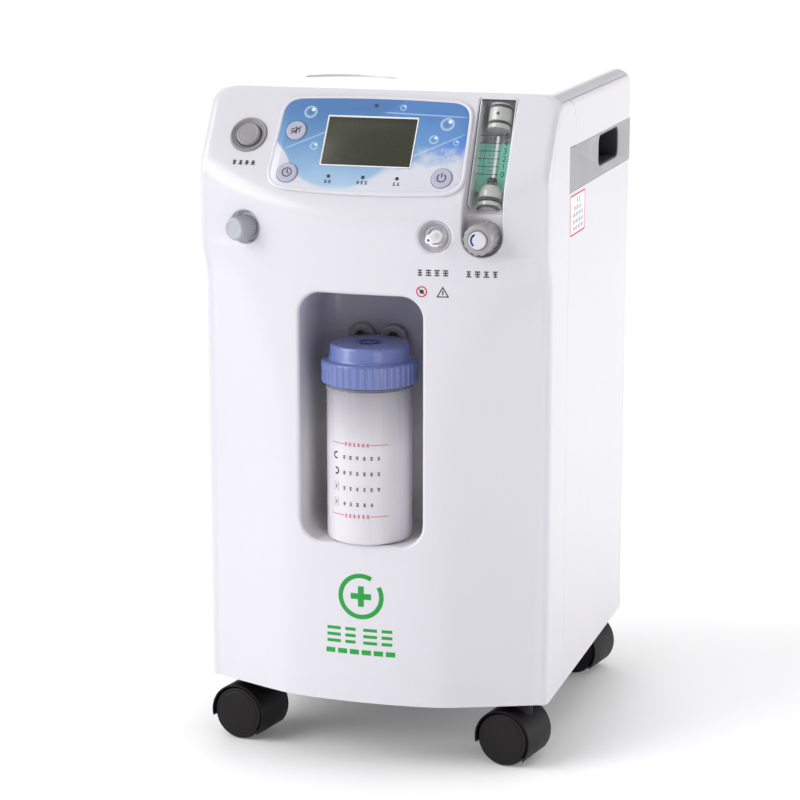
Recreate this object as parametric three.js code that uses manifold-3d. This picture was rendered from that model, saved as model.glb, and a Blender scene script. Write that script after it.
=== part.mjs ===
// A floor-standing oxygen concentrator on four casters.
// Millimetres, +Z up, +X to the right of someone facing the front, front towards -Y.
// The origin is on the floor under the middle of the object, bottle and outlet included.
import * as THREE from 'three';
import { mergeVertices } from 'three/addons/utils/BufferGeometryUtils.js';
import { ParametricGeometry } from 'three/addons/geometries/ParametricGeometry.js';
import Module from 'manifold-3d';

const wasm = await Module();
wasm.setup();

// Cabinet
const halfWidth = 160;
const bodyBottom = 58;
const bodyTop = 600;
const frontY = -176.5; // foremost line of the bowed front
const backY = 190.5;
const bowCurve = 960; // the front falls back by x * x / bowCurve
const wall = 3;
const gap = 0.4; // between neighbouring mouldings
const frontCornerRadius = 8;
const rearCornerRadius = 12;
const topRoundWidth = 20; // elliptical rounding of the top edge, sideways and down
const topRoundHeight = 14;

// Arched flanks: the bow ends on a crease, and a flat flank runs from it to the corner
const archFoot = 260;
const archCrown = 462;
const archNarrow = 74;
const archWide = 150;
const archPower = 1.7;
const flankEdgeY = -138.5;
const shoulderEdgeY = -152.4;
const shoulderFrom = 430;
const shoulderTo = 470;

// Control panel: a plane leaning back from the bow to the top edge
const panelTopY = -105.6;
const panelLean = 0.6864; // forward per unit down
const panelAngle = Math.atan2(1, panelLean);

// Seams between the front cover, side panels, back panel and top cover
const seamY = -74.8;
const seamUpperY = -50.8;
const seamTopZ = 592.2;
const coverLipY = -97.8;
const backSeamY = 184;

// Grey handle band
const bandZ = [510.3, 550.6];
const bandDepth = 1.3;
const gripY = [43.5, 126.5];
const gripZ = [521, 547];
const gripDepth = 36;

// Humidifier bay and bottle
const bayX = [-59, 54];
const bayZ = [205, 429];
const bayBackY = -88;
const bayWall = 2.5;
const bottleX = -3;
const bottleY = -143.5;
const jarRadius = 39.4;
const lidRadius = 45.5;
const lidBottom = 346.4;
const lidShoulder = 367;
const lidTop = 385;

// Row of three fittings under the panel
const fittingZ = 482;
const outletX = 63.9;
const knobX = 104.2;
const portX = -112;
const portTurn = THREE.MathUtils.degToRad(-17);

// Flowmeter in its channel
const meterTilt = THREE.MathUtils.degToRad(90 - 27.4);
const meterTop = [-108.5, 594]; // y and z of the top of its front face
const meterWidth = 31.5;
const meterLength = 97;
const meterDepth = 24;
const channelWidth = 34;
const knobFloorY = -151;

// Casters: the points where the wheels touch the floor
const casterX = 126;
const casterFrontY = -124.5;
const casterRearY = 149;
const wheelRadius = 25;
const casterTrail = 10;
const casterTurn = THREE.MathUtils.degToRad(-11);

// Colours and surface values
const finishes = {
  shell: { color: 0xf1eff5, roughness: 0.3, metalness: 0 },
  bay: { color: 0xd9d6e0, roughness: 0.4, metalness: 0 },
  band: { color: 0xb4b3b6, roughness: 0.45, metalness: 0 },
  charcoal: { color: 0x2b2a31, roughness: 0.6, metalness: 0 },
  overlay: { color: 0x5f95cf, roughness: 0.35, metalness: 0 },
  display: { color: 0x4a4b42, roughness: 0.2, metalness: 0 },
  key: { color: 0xb9b9cc, roughness: 0.45, metalness: 0 },
  grey: { color: 0x9a9ca3, roughness: 0.5, metalness: 0 },
  acrylic: { color: 0xdfe9e8, roughness: 0.08, metalness: 0 },
  teal: { color: 0x4fa58d, roughness: 0.5, metalness: 0 },
  black: { color: 0x1d1b1f, roughness: 0.5, metalness: 0 },
  blue: { color: 0x5d6fc0, roughness: 0.4, metalness: 0 },
  milky: { color: 0xe3e2e6, roughness: 0.3, metalness: 0 },
  aluminium: { color: 0xb8babd, roughness: 0.4, metalness: 1 },
  castMetal: { color: 0x9b9da0, roughness: 0.55, metalness: 1 },
  copper: { color: 0xb87346, roughness: 0.35, metalness: 1 },
  board: { color: 0x1f6b3c, roughness: 0.5, metalness: 0 },
  foam: { color: 0x3c3d40, roughness: 0.95, metalness: 0 },
};

// Closed geometry to a solid, and a solid back to geometry
function toSolid(geometry) {
  const bare = geometry.clone();
  bare.deleteAttribute('normal');
  bare.deleteAttribute('uv');
  const merged = mergeVertices(bare, 1e-3);
  const corner = (i) => new THREE.Vector3().fromBufferAttribute(merged.attributes.position, i);
  const index = merged.index.array;
  const triVerts = [];
  let volume = 0;
  for (let i = 0; i < index.length; i += 3) {
    const [a, b, c] = index.slice(i, i + 3);
    if (a === b || b === c || c === a) continue;
    triVerts.push(a, b, c);
    volume += corner(a).dot(corner(b).cross(corner(c)));
  }
  if (volume < 0) triVerts.reverse(); // an outline drawn the other way round
  const vertProperties = new Float32Array(merged.attributes.position.array);
  const mesh = new wasm.Mesh({ numProp: 3, vertProperties, triVerts: new Uint32Array(triVerts) });
  return new wasm.Manifold(mesh);
}

function toGeometry(solid) {
  const mesh = solid.getMesh();
  const geometry = new THREE.BufferGeometry();
  geometry.setAttribute('position', new THREE.BufferAttribute(new Float32Array(mesh.vertProperties), 3));
  geometry.setIndex(new THREE.BufferAttribute(new Uint32Array(mesh.triVerts), 1));
  geometry.computeVertexNormals();
  return geometry;
}

const joinAll = (solids) => solids.reduce((whole, next) => whole.add(next));
const cutAll = (solid, cutters) => cutters.reduce((whole, next) => whole.subtract(next), solid);

// Basic closed shapes, given by their limits
function block([x0, x1], [y0, y1], [z0, z1]) {
  const geometry = new THREE.BoxGeometry(x1 - x0, y1 - y0, z1 - z0);
  return geometry.translate((x0 + x1) / 2, (y0 + y1) / 2, (z0 + z1) / 2);
}

function rodZ(x, y, [z0, z1], radius, sides = 20) {
  const geometry = new THREE.CylinderGeometry(radius, radius, z1 - z0, sides);
  return geometry.rotateX(Math.PI / 2).translate(x, y, (z0 + z1) / 2);
}

function rodY(x, z, [y0, y1], radius, sides = 20) {
  return new THREE.CylinderGeometry(radius, radius, y1 - y0, sides).translate(x, (y0 + y1) / 2, z);
}

function rodX(y, z, [x0, x1], radius, sides = 20) {
  const geometry = new THREE.CylinderGeometry(radius, radius, x1 - x0, sides);
  return geometry.rotateZ(Math.PI / 2).translate((x0 + x1) / 2, y, z);
}

// Revolved profile of [radius, height] points about +Z
function turned(profile, sides = 20) {
  const points = profile.map(([radius, height]) => new THREE.Vector2(radius, height));
  return new THREE.LatheGeometry(points, sides).rotateX(Math.PI / 2);
}

function roundedRect([x0, x1], [y0, y1], radius) {
  const shape = new THREE.Shape();
  shape.absarc(x1 - radius, y0 + radius, radius, -Math.PI / 2, 0);
  shape.absarc(x1 - radius, y1 - radius, radius, 0, Math.PI / 2);
  shape.absarc(x0 + radius, y1 - radius, radius, Math.PI / 2, Math.PI);
  shape.absarc(x0 + radius, y0 + radius, radius, Math.PI, Math.PI * 1.5);
  return shape;
}

const polygon = (points) => new THREE.Shape(points.map(([x, y]) => new THREE.Vector2(x, y)));
const arcSteps = 4;

function extruded(shape, depth, curveSegments = arcSteps) {
  return new THREE.ExtrudeGeometry(shape, { depth, bevelEnabled: false, curveSegments });
}

// Outline in x and y, raised between two heights
function raised(shape, [z0, z1]) {
  return extruded(shape, z1 - z0).translate(0, 0, z0);
}

// Outline in x and z, run between two y values
function runY(shape, [y0, y1]) {
  return extruded(shape, y1 - y0).rotateX(Math.PI / 2).translate(0, y1, 0);
}

// Outline in y and z, run between two x values
function runX(shape, [x0, x1]) {
  return extruded(shape, x1 - x0).rotateX(Math.PI / 2).rotateZ(Math.PI / 2).translate(x0, 0, 0);
}

// Pieces and groups
const concentrator = new THREE.Group();

function addPiece(parent, name, shape, finish) {
  const geometry = toGeometry(shape instanceof THREE.BufferGeometry ? toSolid(shape) : shape);
  const mesh = new THREE.Mesh(geometry, new THREE.MeshStandardMaterial(finish));
  mesh.name = name;
  parent.add(mesh);
  return mesh;
}

function addGroup([x, y, z], rotation = [0, 0, 0]) {
  const group = new THREE.Group();
  group.position.set(x, y, z);
  group.rotation.set(...rotation);
  concentrator.add(group);
  group.updateMatrixWorld(true);
  return group;
}

// A geometry drawn in a group's frame, as a solid in the cabinet's frame
const inCabinet = (group, geometry) => toSolid(geometry.clone().applyMatrix4(group.matrixWorld));

// Cabinet body
const smooth = (t) => t * t * (3 - 2 * t);
const within = (value, low, high) => THREE.MathUtils.clamp((value - low) / (high - low), 0, 1);
const bowY = (x) => frontY + (x * x) / bowCurve;

function creaseX(z) {
  const t = within(z, archFoot, archCrown);
  return archWide - (archWide - archNarrow) * Math.pow(1 - Math.pow(t, archPower), 1 / archPower);
}

// Right half of the cabinet's outline at a height, from the front middle round to the back
function halfOutline(z, inset) {
  const rise = within(z + inset, bodyTop - topRoundHeight, bodyTop);
  const narrowing = topRoundWidth * (1 - Math.sqrt(1 - rise * rise));
  const crease = creaseX(z);
  const lift = smooth(within(z, shoulderFrom, shoulderTo));
  const edgeY = THREE.MathUtils.lerp(flankEdgeY, shoulderEdgeY, lift);
  const cornerX = halfWidth - frontCornerRadius - narrowing;
  const rearX = halfWidth - rearCornerRadius - narrowing;
  const rearY = backY - rearCornerRadius - narrowing;
  const scale = Math.min(1, cornerX / (halfWidth - frontCornerRadius));
  const points = [0, 0.33, 0.67, 1].map((part) => [crease * part * scale, bowY(crease * part) + inset]);
  points.push([(crease * scale + cornerX) / 2, (bowY(crease) + edgeY) / 2 + inset]);
  for (const turn of [0, 0.5, 1]) {
    const angle = (turn * Math.PI) / 2;
    const radius = frontCornerRadius - inset;
    points.push([cornerX + radius * Math.sin(angle), edgeY + frontCornerRadius - radius * Math.cos(angle)]);
  }
  for (const turn of [0, 0.33, 0.67, 1]) {
    const angle = (turn * Math.PI) / 2;
    const radius = rearCornerRadius - inset;
    points.push([rearX + radius * Math.cos(angle), rearY + radius * Math.sin(angle)]);
  }
  return points;
}

function outline(z, inset) {
  const right = halfOutline(z, inset);
  const left = right.slice(1).reverse().map(([x, y]) => [-x, y]);
  return right.concat(left);
}

// Plane of the control panel; local +Y climbs the slope and +Z points out of it
const panel = addGroup([0, panelTopY, bodyTop], [panelAngle, 0, 0]);
const slopeV = (z) => (z - bodyTop) / Math.sin(panelAngle);

function cabinetSolid(inset, bottom) {
  const heights = [bottom, archFoot, 310, 350, 385, 415, 438, 454, archCrown, shoulderTo];
  const topHeights = [0, 0.5, 0.85, 1].map((part) => bodyTop - topRoundHeight * (1 - part) - inset);
  const ring = (z) => outline(z, inset).map(([x, y]) => new THREE.Vector3(x, y, z));
  const rings = heights.concat(topHeights).map(ring);
  const sides = rings[0].length;
  const levels = rings.length + 1;
  const middleY = 0;
  const point = (u, v, target) => {
    const level = Math.round(v * levels);
    if (level === 0) target.set(0, middleY, rings[0][0].z);
    else if (level === levels) target.set(0, middleY, rings[levels - 2][0].z);
    else target.copy(rings[level - 1][Math.round(u * sides) % sides]);
  };
  const loft = toSolid(new ParametricGeometry(point, sides, levels));
  const aheadOfPanel = inCabinet(panel, block([-300, 300], [-250, 100], [-inset, 250]));
  return loft.asOriginal().subtract(aheadOfPanel);
}

const belowBody = bodyBottom - 20;
const outside = cabinetSolid(0, bodyBottom);
const inside = cabinetSolid(wall, belowBody);
const lining = cabinetSolid(wall + gap, belowBody);
const shell = outside.subtract(inside);

// Region of the front cover in y and z: plain seam, step above the handle band, swept top
function frontRegion(clearance) {
  const seam = new THREE.Shape();
  seam.moveTo(-300, 0);
  seam.lineTo(seamY, 0);
  seam.lineTo(seamY, bandZ[1] + gap);
  seam.lineTo(seamUpperY, bandZ[1] + gap);
  seam.lineTo(seamUpperY, bandZ[1] + 8);
  seam.quadraticCurveTo(seamUpperY, seamTopZ - 6, seamY + 1, seamTopZ);
  seam.lineTo(coverLipY, seamTopZ);
  seam.lineTo(coverLipY, bodyTop + 10);
  seam.lineTo(-300, bodyTop + 10);
  const shifted = (dz) => toSolid(runX(seam, [-200, 200]).translate(0, clearance, dz));
  return joinAll([-clearance, clearance].map(shifted));
}

// Flowmeter frame: the origin is the middle of its front face's top edge
const meter = addGroup([knobX, ...meterTop], [meterTilt, 0, 0]);

// Channel for the flowmeter, ending in the round well of the flow knob
function channelSolid(skin) {
  const half = channelWidth / 2 + skin;
  const slot = block([-half, half], [-meterLength - 0.3 - skin, 0.3 + skin], [-meterDepth - 2.6 - skin, 60]);
  const well = block([knobX - half, knobX + half], [-260, knobFloorY + skin], [fittingZ, 520]);
  const round = rodY(knobX, fittingZ, [-260, knobFloorY + skin], half, 24);
  return joinAll([inCabinet(meter, slot), toSolid(well), toSolid(round)]);
}

// Dishes moulded into the front for the outlet and the auxiliary port
const port = addGroup([portX, bowY(portX), fittingZ], [0, 0, portTurn]);
const outletDepth = 9;
const outletDishRadius = 16.8;
const portDishRadius = 16.5;
const portDepth = 8;
const outletY = bowY(outletX);

function dishes(skin) {
  const outlet = turned([[0, -60], [20 + skin, -60], [outletDishRadius + skin, 0],
    [11.5 + skin, outletDepth + skin], [0, outletDepth + skin]]).rotateX(-Math.PI / 2);
  const cup = turned([[0, -60], [22 + skin, -60], [portDishRadius + skin, 0],
    [14 + skin, portDepth + skin], [0, portDepth + skin]]).rotateX(-Math.PI / 2);
  return joinAll([toSolid(outlet.translate(outletX, outletY, fittingZ)), inCabinet(port, cup)]);
}

// Opening of the humidifier bay, seen from the front
const bayOpening = roundedRect(bayX, bayZ, 20);

// Monitor port on the panel
const monitor = { x: -117.6, v: slopeV(559.6), dish: 17, button: 11 };

// Control panel outline, in the panel's frame
const overlayMiddle = -3.4;
const overlayHalf = 87;
const overlayTop = -10.2;
const overlayBottom = -103.3;

function panelOutline(grow) {
  const half = overlayHalf + grow;
  const radius = 17 + grow;
  const sag = 4.5;
  const top = overlayTop + grow;
  const bottom = overlayBottom - grow;
  const [left, right] = [overlayMiddle - half, overlayMiddle + half];
  const shape = new THREE.Shape();
  shape.moveTo(left + radius, bottom + sag);
  shape.quadraticCurveTo(overlayMiddle, bottom - sag + 3.6, right - radius, bottom + sag);
  shape.quadraticCurveTo(right, bottom + sag + 1.5, right, bottom + radius + sag);
  shape.lineTo(right - 2, top - radius - 1);
  shape.quadraticCurveTo(right - 2.5, top - 2, right - radius - 2.5, top - 1.6);
  shape.quadraticCurveTo(overlayMiddle, top + 1.6, left + radius + 2.5, top - 1.6);
  shape.quadraticCurveTo(left + 2.5, top - 2, left + 2, top - radius - 1);
  shape.lineTo(left, bottom + radius + sag);
  shape.quadraticCurveTo(left, bottom + sag + 1.5, left + radius, bottom + sag);
  return shape;
}

const rimWidth = 3;
const sillWidth = 2; // the cover's ledge under the overlay's edge
const keyRadius = 9.25;
const keys = [
  { name: 'button_mute', x: -73.4, v: slopeV(563.6) },
  { name: 'button_timer', x: -74.3, v: slopeV(529.4) },
  { name: 'button_power', x: 65.9, v: slopeV(529.6) },
];
const displayX = [-46.4, 36.4];
const displayV = [slopeV(536.7), slopeV(577.3)];
const keyHoles = (depths) => keys.map(({ x, v }) => toSolid(rodZ(x, v, depths, keyRadius + gap)));
const widened = ([low, high], skin) => [low - skin, high + skin];
const displayHole = (grow, depths) =>
  toSolid(block(widened(displayX, grow), widened(displayV, grow), depths));

// Front cover
const troughSkin = channelSolid(2.5).add(dishes(2.5)).intersect(outside);
const frontCover = cutAll(shell.add(troughSkin).intersect(frontRegion(0)), [
  channelSolid(0),
  dishes(0),
  toSolid(runY(bayOpening, [-260, bayBackY])),
  inCabinet(panel, raised(panelOutline(-sillWidth), [-20, 20])),
  inCabinet(panel, rodZ(monitor.x, monitor.v, [-20, 20], monitor.dish)),
  toSolid(rodY(outletX, fittingZ, [-200, -140], 9.6)),
  inCabinet(port, rodY(0, 0, [-5, 30], 6.4)),
  toSolid(rodY(knobX, fittingZ, [-200, -120], 3.4, 16)),
]);
addPiece(concentrator, 'front_cover', frontCover, finishes.shell);

// Side panels, back panel, top cover
const panelRange = [seamY + gap, backSeamY - gap];
const bandRegion = (grow) => toSolid(block([100, 200], panelRange, [bandZ[0] - grow, bandZ[1] + grow]));
const bandGroove = outside.subtract(cabinetSolid(bandDepth + 0.3, belowBody)).intersect(bandRegion(0));
const gripHole = toSolid(runX(roundedRect(gripY, gripZ, 7), [100, 200]));
const filterDoorX = [-120, -40];
const filterDoorZ = [380, 500];
const doorGap = 0.4;
const inletX = [-130, -82];
const inletZ = [84, 112];
const fanX = 70;
const fanZ = 130;

const rightSide = shell.intersect(toSolid(block([1, 200], panelRange, [0, seamTopZ])));
const sidePanel = cutAll(rightSide, [frontRegion(gap), bandGroove, gripHole]);
addPiece(concentrator, 'side_panel_right', sidePanel, finishes.shell);
addPiece(concentrator, 'side_panel_left', sidePanel.mirror([1, 0, 0]), finishes.shell);

const band = outside.subtract(cabinetSolid(bandDepth, belowBody)).intersect(bandRegion(-0.3));
const handleBand = cutAll(band, [frontRegion(gap), gripHole]);
addPiece(concentrator, 'handle_band_right', handleBand, finishes.band);
addPiece(concentrator, 'handle_band_left', handleBand.mirror([1, 0, 0]), finishes.band);

const pocketX = [halfWidth - gripDepth, halfWidth - wall - 0.3];
const pocketCup = toSolid(block(pocketX, widened(gripY, wall), widened(gripZ, wall)));
const pocketHollow = toSolid(runX(roundedRect(gripY, gripZ, 7), [pocketX[0] + wall, 200]));
const handlePocket = pocketCup.subtract(pocketHollow);
addPiece(concentrator, 'handle_pocket_right', handlePocket, finishes.charcoal);
addPiece(concentrator, 'handle_pocket_left', handlePocket.mirror([1, 0, 0]), finishes.charcoal);

const slotPitch = 12;
const slots = [-4, -3, -2, -1, 0, 1, 2, 3, 4].map((row) => {
  const middle = fanZ + row * slotPitch;
  const half = Math.sqrt(55 ** 2 - (row * slotPitch) ** 2);
  return toSolid(block([fanX - half, fanX + half], [180, 200], [middle - 3, middle + 3]));
});
const backWall = shell.intersect(toSolid(block([-200, 200], [backSeamY, 300], [0, seamTopZ])));
const backPanel = cutAll(backWall, [
  ...slots,
  toSolid(block(filterDoorX, [180, 200], filterDoorZ)),
  toSolid(block(widened(inletX, gap), [180, 200], widened(inletZ, gap))),
]);
addPiece(concentrator, 'back_panel', backPanel, finishes.shell);
const topRegion = toSolid(block([-200, 200], [coverLipY + gap, 300], [seamTopZ + gap, 700]));
addPiece(concentrator, 'top_cover', shell.intersect(topRegion), finishes.shell);

// Filter door, hinged along its lower edge, with the foam behind it
const doorX = [filterDoorX[0] + doorGap, filterDoorX[1] - doorGap];
const doorZ = [filterDoorZ[0] + doorGap, filterDoorZ[1] - doorGap];
const louvres = [0, 1, 2, 3, 4, 5].map((row) => {
  const z = filterDoorZ[0] + 26 + row * 15;
  return toSolid(block([doorX[0] + 12, doorX[1] - 12], [180, 200], [z, z + 5]));
});
const filterDoor = cutAll(toSolid(block(doorX, [backY - wall, backY], doorZ)), louvres);
addPiece(concentrator, 'filter_door', filterDoor, finishes.shell);
const foam = block(widened(doorX, -2), [176, backY - wall - 0.5], widened(doorZ, -3));
addPiece(concentrator, 'intake_foam', foam, finishes.foam);

// Power inlet with its socket recess
const inletSocket = toSolid(block(widened(inletX, -7), [backY - 18, 200], widened(inletZ, -4)));
const powerInlet = toSolid(block(inletX, [160, backY], inletZ)).subtract(inletSocket);
addPiece(concentrator, 'power_inlet', powerInlet, finishes.black);

// Base tray: floor, rim and a boss for each caster stem
const trayBottom = bodyBottom + 0.5;
const trayFloor = trayBottom + 4;
const trayTop = 80;
const stemRadius = 5.5;
const casterSites = [
  { name: 'front_left', x: -casterX, y: casterFrontY, turn: casterTurn },
  { name: 'front_right', x: casterX, y: casterFrontY, turn: casterTurn },
  { name: 'rear_left', x: -casterX, y: casterRearY, turn: casterTurn },
  { name: 'rear_right', x: casterX, y: casterRearY, turn: casterTurn },
].map((site) => ({ ...site, stemX: site.x + casterTrail * Math.cos(site.turn),
  stemY: site.y + casterTrail * Math.sin(site.turn) }));

const trayBlock = lining.intersect(toSolid(block([-200, 200], [-200, 200], [trayBottom, trayTop])));
const trayHollow = cabinetSolid(wall + gap + 2.5, trayFloor);
const atStems = (heights, radius, sides) =>
  casterSites.map(({ stemX, stemY }) => toSolid(rodZ(stemX, stemY, heights, radius, sides)));
const bosses = atStems([trayFloor - 1, trayTop], 11, 16);
const stemHoles = atStems([0, 100], stemRadius + 0.4, 12);
const baseTray = cutAll(joinAll([trayBlock.subtract(trayHollow), ...bosses]), stemHoles);
addPiece(concentrator, 'base_tray', baseTray, finishes.charcoal);

// Casters: each frame's origin is on the floor under the stem, with the wheels towards -X
const hoodRadius = 27.2;
const hoodSkin = 1.5;
const hoodHalf = 24;
const hoodFrom = THREE.MathUtils.degToRad(-40);
const hoodTo = THREE.MathUtils.degToRad(192);
const webHalf = 3;
const hoodSteps = 12;
const axleRadius = 4;
const wheelSides = 20;

function hoodSector(radius) {
  const shape = new THREE.Shape();
  shape.moveTo(-casterTrail, wheelRadius);
  shape.absarc(-casterTrail, wheelRadius, radius, hoodFrom, hoodTo);
  return extruded(shape, 2 * hoodHalf, hoodSteps).rotateX(Math.PI / 2).translate(0, hoodHalf, 0);
}

function swivelSolid() {
  const wheelBay = [[-hoodHalf - 1, -webHalf], [webHalf, hoodHalf + 1]].map((range) =>
    toSolid(rodY(-casterTrail, wheelRadius, range, hoodRadius - hoodSkin, 24)));
  const axleHole = toSolid(rodY(-casterTrail, wheelRadius, [-50, 50], axleRadius + 0.35, 12));
  const hood = cutAll(toSolid(hoodSector(hoodRadius)), [...wheelBay, axleHole]);
  const webHub = toSolid(rodY(-casterTrail, wheelRadius, [-webHalf, webHalf], 9, 12)).subtract(axleHole);
  const stem = rodZ(0, 0, [wheelRadius + hoodRadius - 6, trayTop - 2], stemRadius, 12);
  const collar = rodZ(0, 0, [wheelRadius + hoodRadius - 8, bodyBottom - 1], 9, 12);
  const neck = cutAll(joinAll([toSolid(stem), toSolid(collar)]), wheelBay);
  return joinAll([hood, webHub, neck]);
}

function twinWheel() {
  const rim = wheelRadius / Math.cos(Math.PI / wheelSides); // flat-to-floor facets
  const half = hoodHalf - 0.5;
  const clear = webHalf + 0.5;
  const profile = [[0, -half], [rim, -half], [rim, -clear], [axleRadius, -clear], [axleRadius, clear],
    [rim, clear], [rim, half], [0, half]];
  const wheels = turned(profile, wheelSides).rotateX(-Math.PI / 2).rotateY(Math.PI / wheelSides);
  return wheels.translate(-casterTrail, 0, wheelRadius);
}

for (const { name, stemX, stemY, turn } of casterSites) {
  const caster = addGroup([stemX, stemY, 0], [0, 0, turn]);
  addPiece(caster, `caster_swivel_${name}`, swivelSolid(), finishes.black);
  addPiece(caster, `caster_wheels_${name}`, twinWheel(), finishes.black);
}

// Humidifier bay: a tray behind the opening, with two gas ports through its back
const bayPlan = (grow) => {
  const radius = 20 + grow;
  const [left, right] = [bayX[0] - grow, bayX[1] + grow];
  const back = bayBackY + grow;
  const shape = new THREE.Shape();
  shape.moveTo(left, -200);
  shape.lineTo(right, -200);
  shape.absarc(right - radius, back - radius, radius, 0, Math.PI / 2);
  shape.absarc(left + radius, back - radius, radius, Math.PI / 2, Math.PI);
  return shape;
};
const bayPortX = [-26, 4];
const bayPortZ = 376;
const bayPortHoles = bayPortX.map((x) => toSolid(rodY(x, bayPortZ, [bayBackY - 5, bayBackY + 10], 7.4, 16)));
const bayOuter = toSolid(raised(bayPlan(bayWall), widened(bayZ, bayWall))).intersect(lining);
const bay = cutAll(bayOuter, [toSolid(raised(bayPlan(0), bayZ)), ...bayPortHoles]);
addPiece(concentrator, 'bottle_bay', bay, finishes.bay);
['left', 'right'].forEach((side, i) => {
  const bushing = turned([[0, -4], [6, -4], [6, -8], [12.5, -8], [12.5, -0.3], [7, -0.3], [7, 10], [0, 10]],
    16);
  const place = bushing.rotateX(-Math.PI / 2).translate(bayPortX[i], bayBackY, bayPortZ);
  addPiece(concentrator, `bay_port_${side}`, place, finishes.grey);
});

// Humidifier bottle, in a frame on its axis at the bay floor
const bottle = addGroup([bottleX, bottleY, 0]);
const jarBottom = bayZ[0] + 0.3;
const neckRadius = 36;
const neckTop = 362;
const jarWall = 2.4;
const jarInside = jarRadius - jarWall;
const neckInside = neckRadius - jarWall;
addPiece(bottle, 'bottle_jar', turned([[0, jarBottom], [jarRadius - 4, jarBottom], [jarRadius, jarBottom + 4],
  [jarRadius, lidBottom - 0.5], [neckRadius, lidBottom - 0.5], [neckRadius, neckTop], [neckInside, neckTop],
  [neckInside, lidBottom - 2], [jarInside, lidBottom - 6], [jarInside, jarBottom + 6],
  [jarRadius - 6, jarBottom + 3], [0, jarBottom + 3]], 24), finishes.milky);
const lidRoof = lidTop - 5;
const lidInside = neckRadius + 0.5;
addPiece(bottle, 'bottle_lid', turned([[0, lidTop], [jarRadius - 4, lidTop], [jarRadius, lidTop - 4],
  [jarRadius, lidShoulder], [lidRadius, lidShoulder], [lidRadius, lidBottom], [lidInside, lidBottom],
  [lidInside, lidRoof], [0, lidRoof]], 24), finishes.blue);
addPiece(bottle, 'bubbler_tube', turned([[0, 214], [8, 214], [8, 226], [3.5, 228], [3.5, lidRoof - 0.3],
  [0, lidRoof - 0.3]], 12), finishes.milky);

// Control panel: bezel, printed overlay, display, keys and the board behind them
const rim = toSolid(raised(panelOutline(rimWidth), [0.3, 2.1]));
const plug = toSolid(raised(panelOutline(-sillWidth - gap), [-wall, 0.5]));
const pocket = toSolid(raised(panelOutline(0.3), [0.8, 20]));
const bezel = cutAll(rim.add(plug), [pocket, ...keyHoles([-20, 20]), displayHole(0.3, [-20, 20])]);
addPiece(panel, 'control_bezel', bezel, finishes.shell);
const overlay = cutAll(toSolid(raised(panelOutline(0), [1.1, 1.7])), [
  ...keyHoles([-20, 20]), displayHole(0.3, [-20, 20])]);
addPiece(panel, 'control_overlay', overlay, finishes.overlay);
addPiece(panel, 'display_module', block(displayX, displayV, [-12, 1.2]), finishes.display);
for (const { name, x, v } of keys) addPiece(panel, name, rodZ(x, v, [-7, 3.2], keyRadius), finishes.key);
const board = joinAll([block([-86, 62], [-100, -16], [-17, -15.4]), block([-40, 0], [-70, -40], [-21, -16]),
  block([20, 50], [-90, -30], [-24, -16])].map(toSolid));
addPiece(panel, 'control_board', board, finishes.board);

// Oxygen monitor port: a dished ring round its push button
const monitorRing = turned([[16.7, -3], [16.7, 0.4], [15.2, 0.8], [12.6, -1.2], [11.4, -1.2], [11.4, -6],
  [14, -6], [14, -3], [16.7, -3]]);
addPiece(panel, 'monitor_port_ring', monitorRing.translate(monitor.x, monitor.v, 0), finishes.grey);
addPiece(panel, 'button_monitor', rodZ(monitor.x, monitor.v, [-9, 2.6], monitor.button), finishes.grey);

// Auxiliary port: socket in its cup and a knurled cap; the frame's -Y points out of the front
function fluted(radius, depth, count) {
  const points = [];
  for (let i = 0; i < 2 * count; i += 1) {
    const angle = (i * Math.PI) / count;
    const reach = i % 2 ? radius : radius - depth;
    points.push([reach * Math.cos(angle), reach * Math.sin(angle)]);
  }
  return polygon(points);
}
const portSocket = turned([[0, 5.9], [13, 5.9], [13, portDepth - 0.3], [6, portDepth - 0.3], [6, 22],
  [0, 22]]);
addPiece(port, 'auxiliary_port_socket', portSocket.rotateX(-Math.PI / 2), finishes.grey);
addPiece(port, 'auxiliary_port_cap', runY(fluted(10.5, 0.9, 18), [-16, 5.5]), finishes.grey);

// Oxygen outlet: socket cup and barbed nipple
const outlet = addGroup([outletX, outletY, fittingZ]);
const socketCup = turned([[0, 10.7], [7.6, 10.7], [7.6, 3.5], [9.2, 3.5], [9.2, 22], [0, 22]]);
addPiece(outlet, 'outlet_socket', socketCup.rotateX(-Math.PI / 2), finishes.milky);
const nippleReach = backY + outletY; // its tip is as far forward as the back panel is back
const nipple = turned([[0, 10.4], [6.2, 10.4], [6.2, 7], [3.2, 6], [3.2, -4], [4.2, -6], [3.1, -9.5],
  [4.1, -11.5], [2.5, -nippleReach], [1.3, -nippleReach], [1.3, 4], [0, 4]], 14);
addPiece(outlet, 'outlet_nipple', nipple.rotateX(-Math.PI / 2), finishes.milky);

// Flow knob with its stem and cap, and the needle valve behind the well
const stem = toSolid(rodY(knobX, fittingZ, [knobFloorY - 2, -126], 3, 16));
const knob = toSolid(runY(fluted(14.5, 1.2, 14), [-178, knobFloorY - 0.7]).translate(knobX, 0, fittingZ));
addPiece(concentrator, 'flow_knob', knob.add(stem), finishes.grey);
addPiece(concentrator, 'flow_knob_cap', rodY(knobX, fittingZ, [-180.6, -178.3], 7.8), finishes.shell);
const valveBore = toSolid(rodY(knobX, fittingZ, [-160, -124], 3.4, 16));
addPiece(concentrator, 'flow_valve_body', toSolid(block([knobX - 11, knobX + 11], [-148, -118], [470, 488]))
  .subtract(valveBore), finishes.aluminium);

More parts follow.
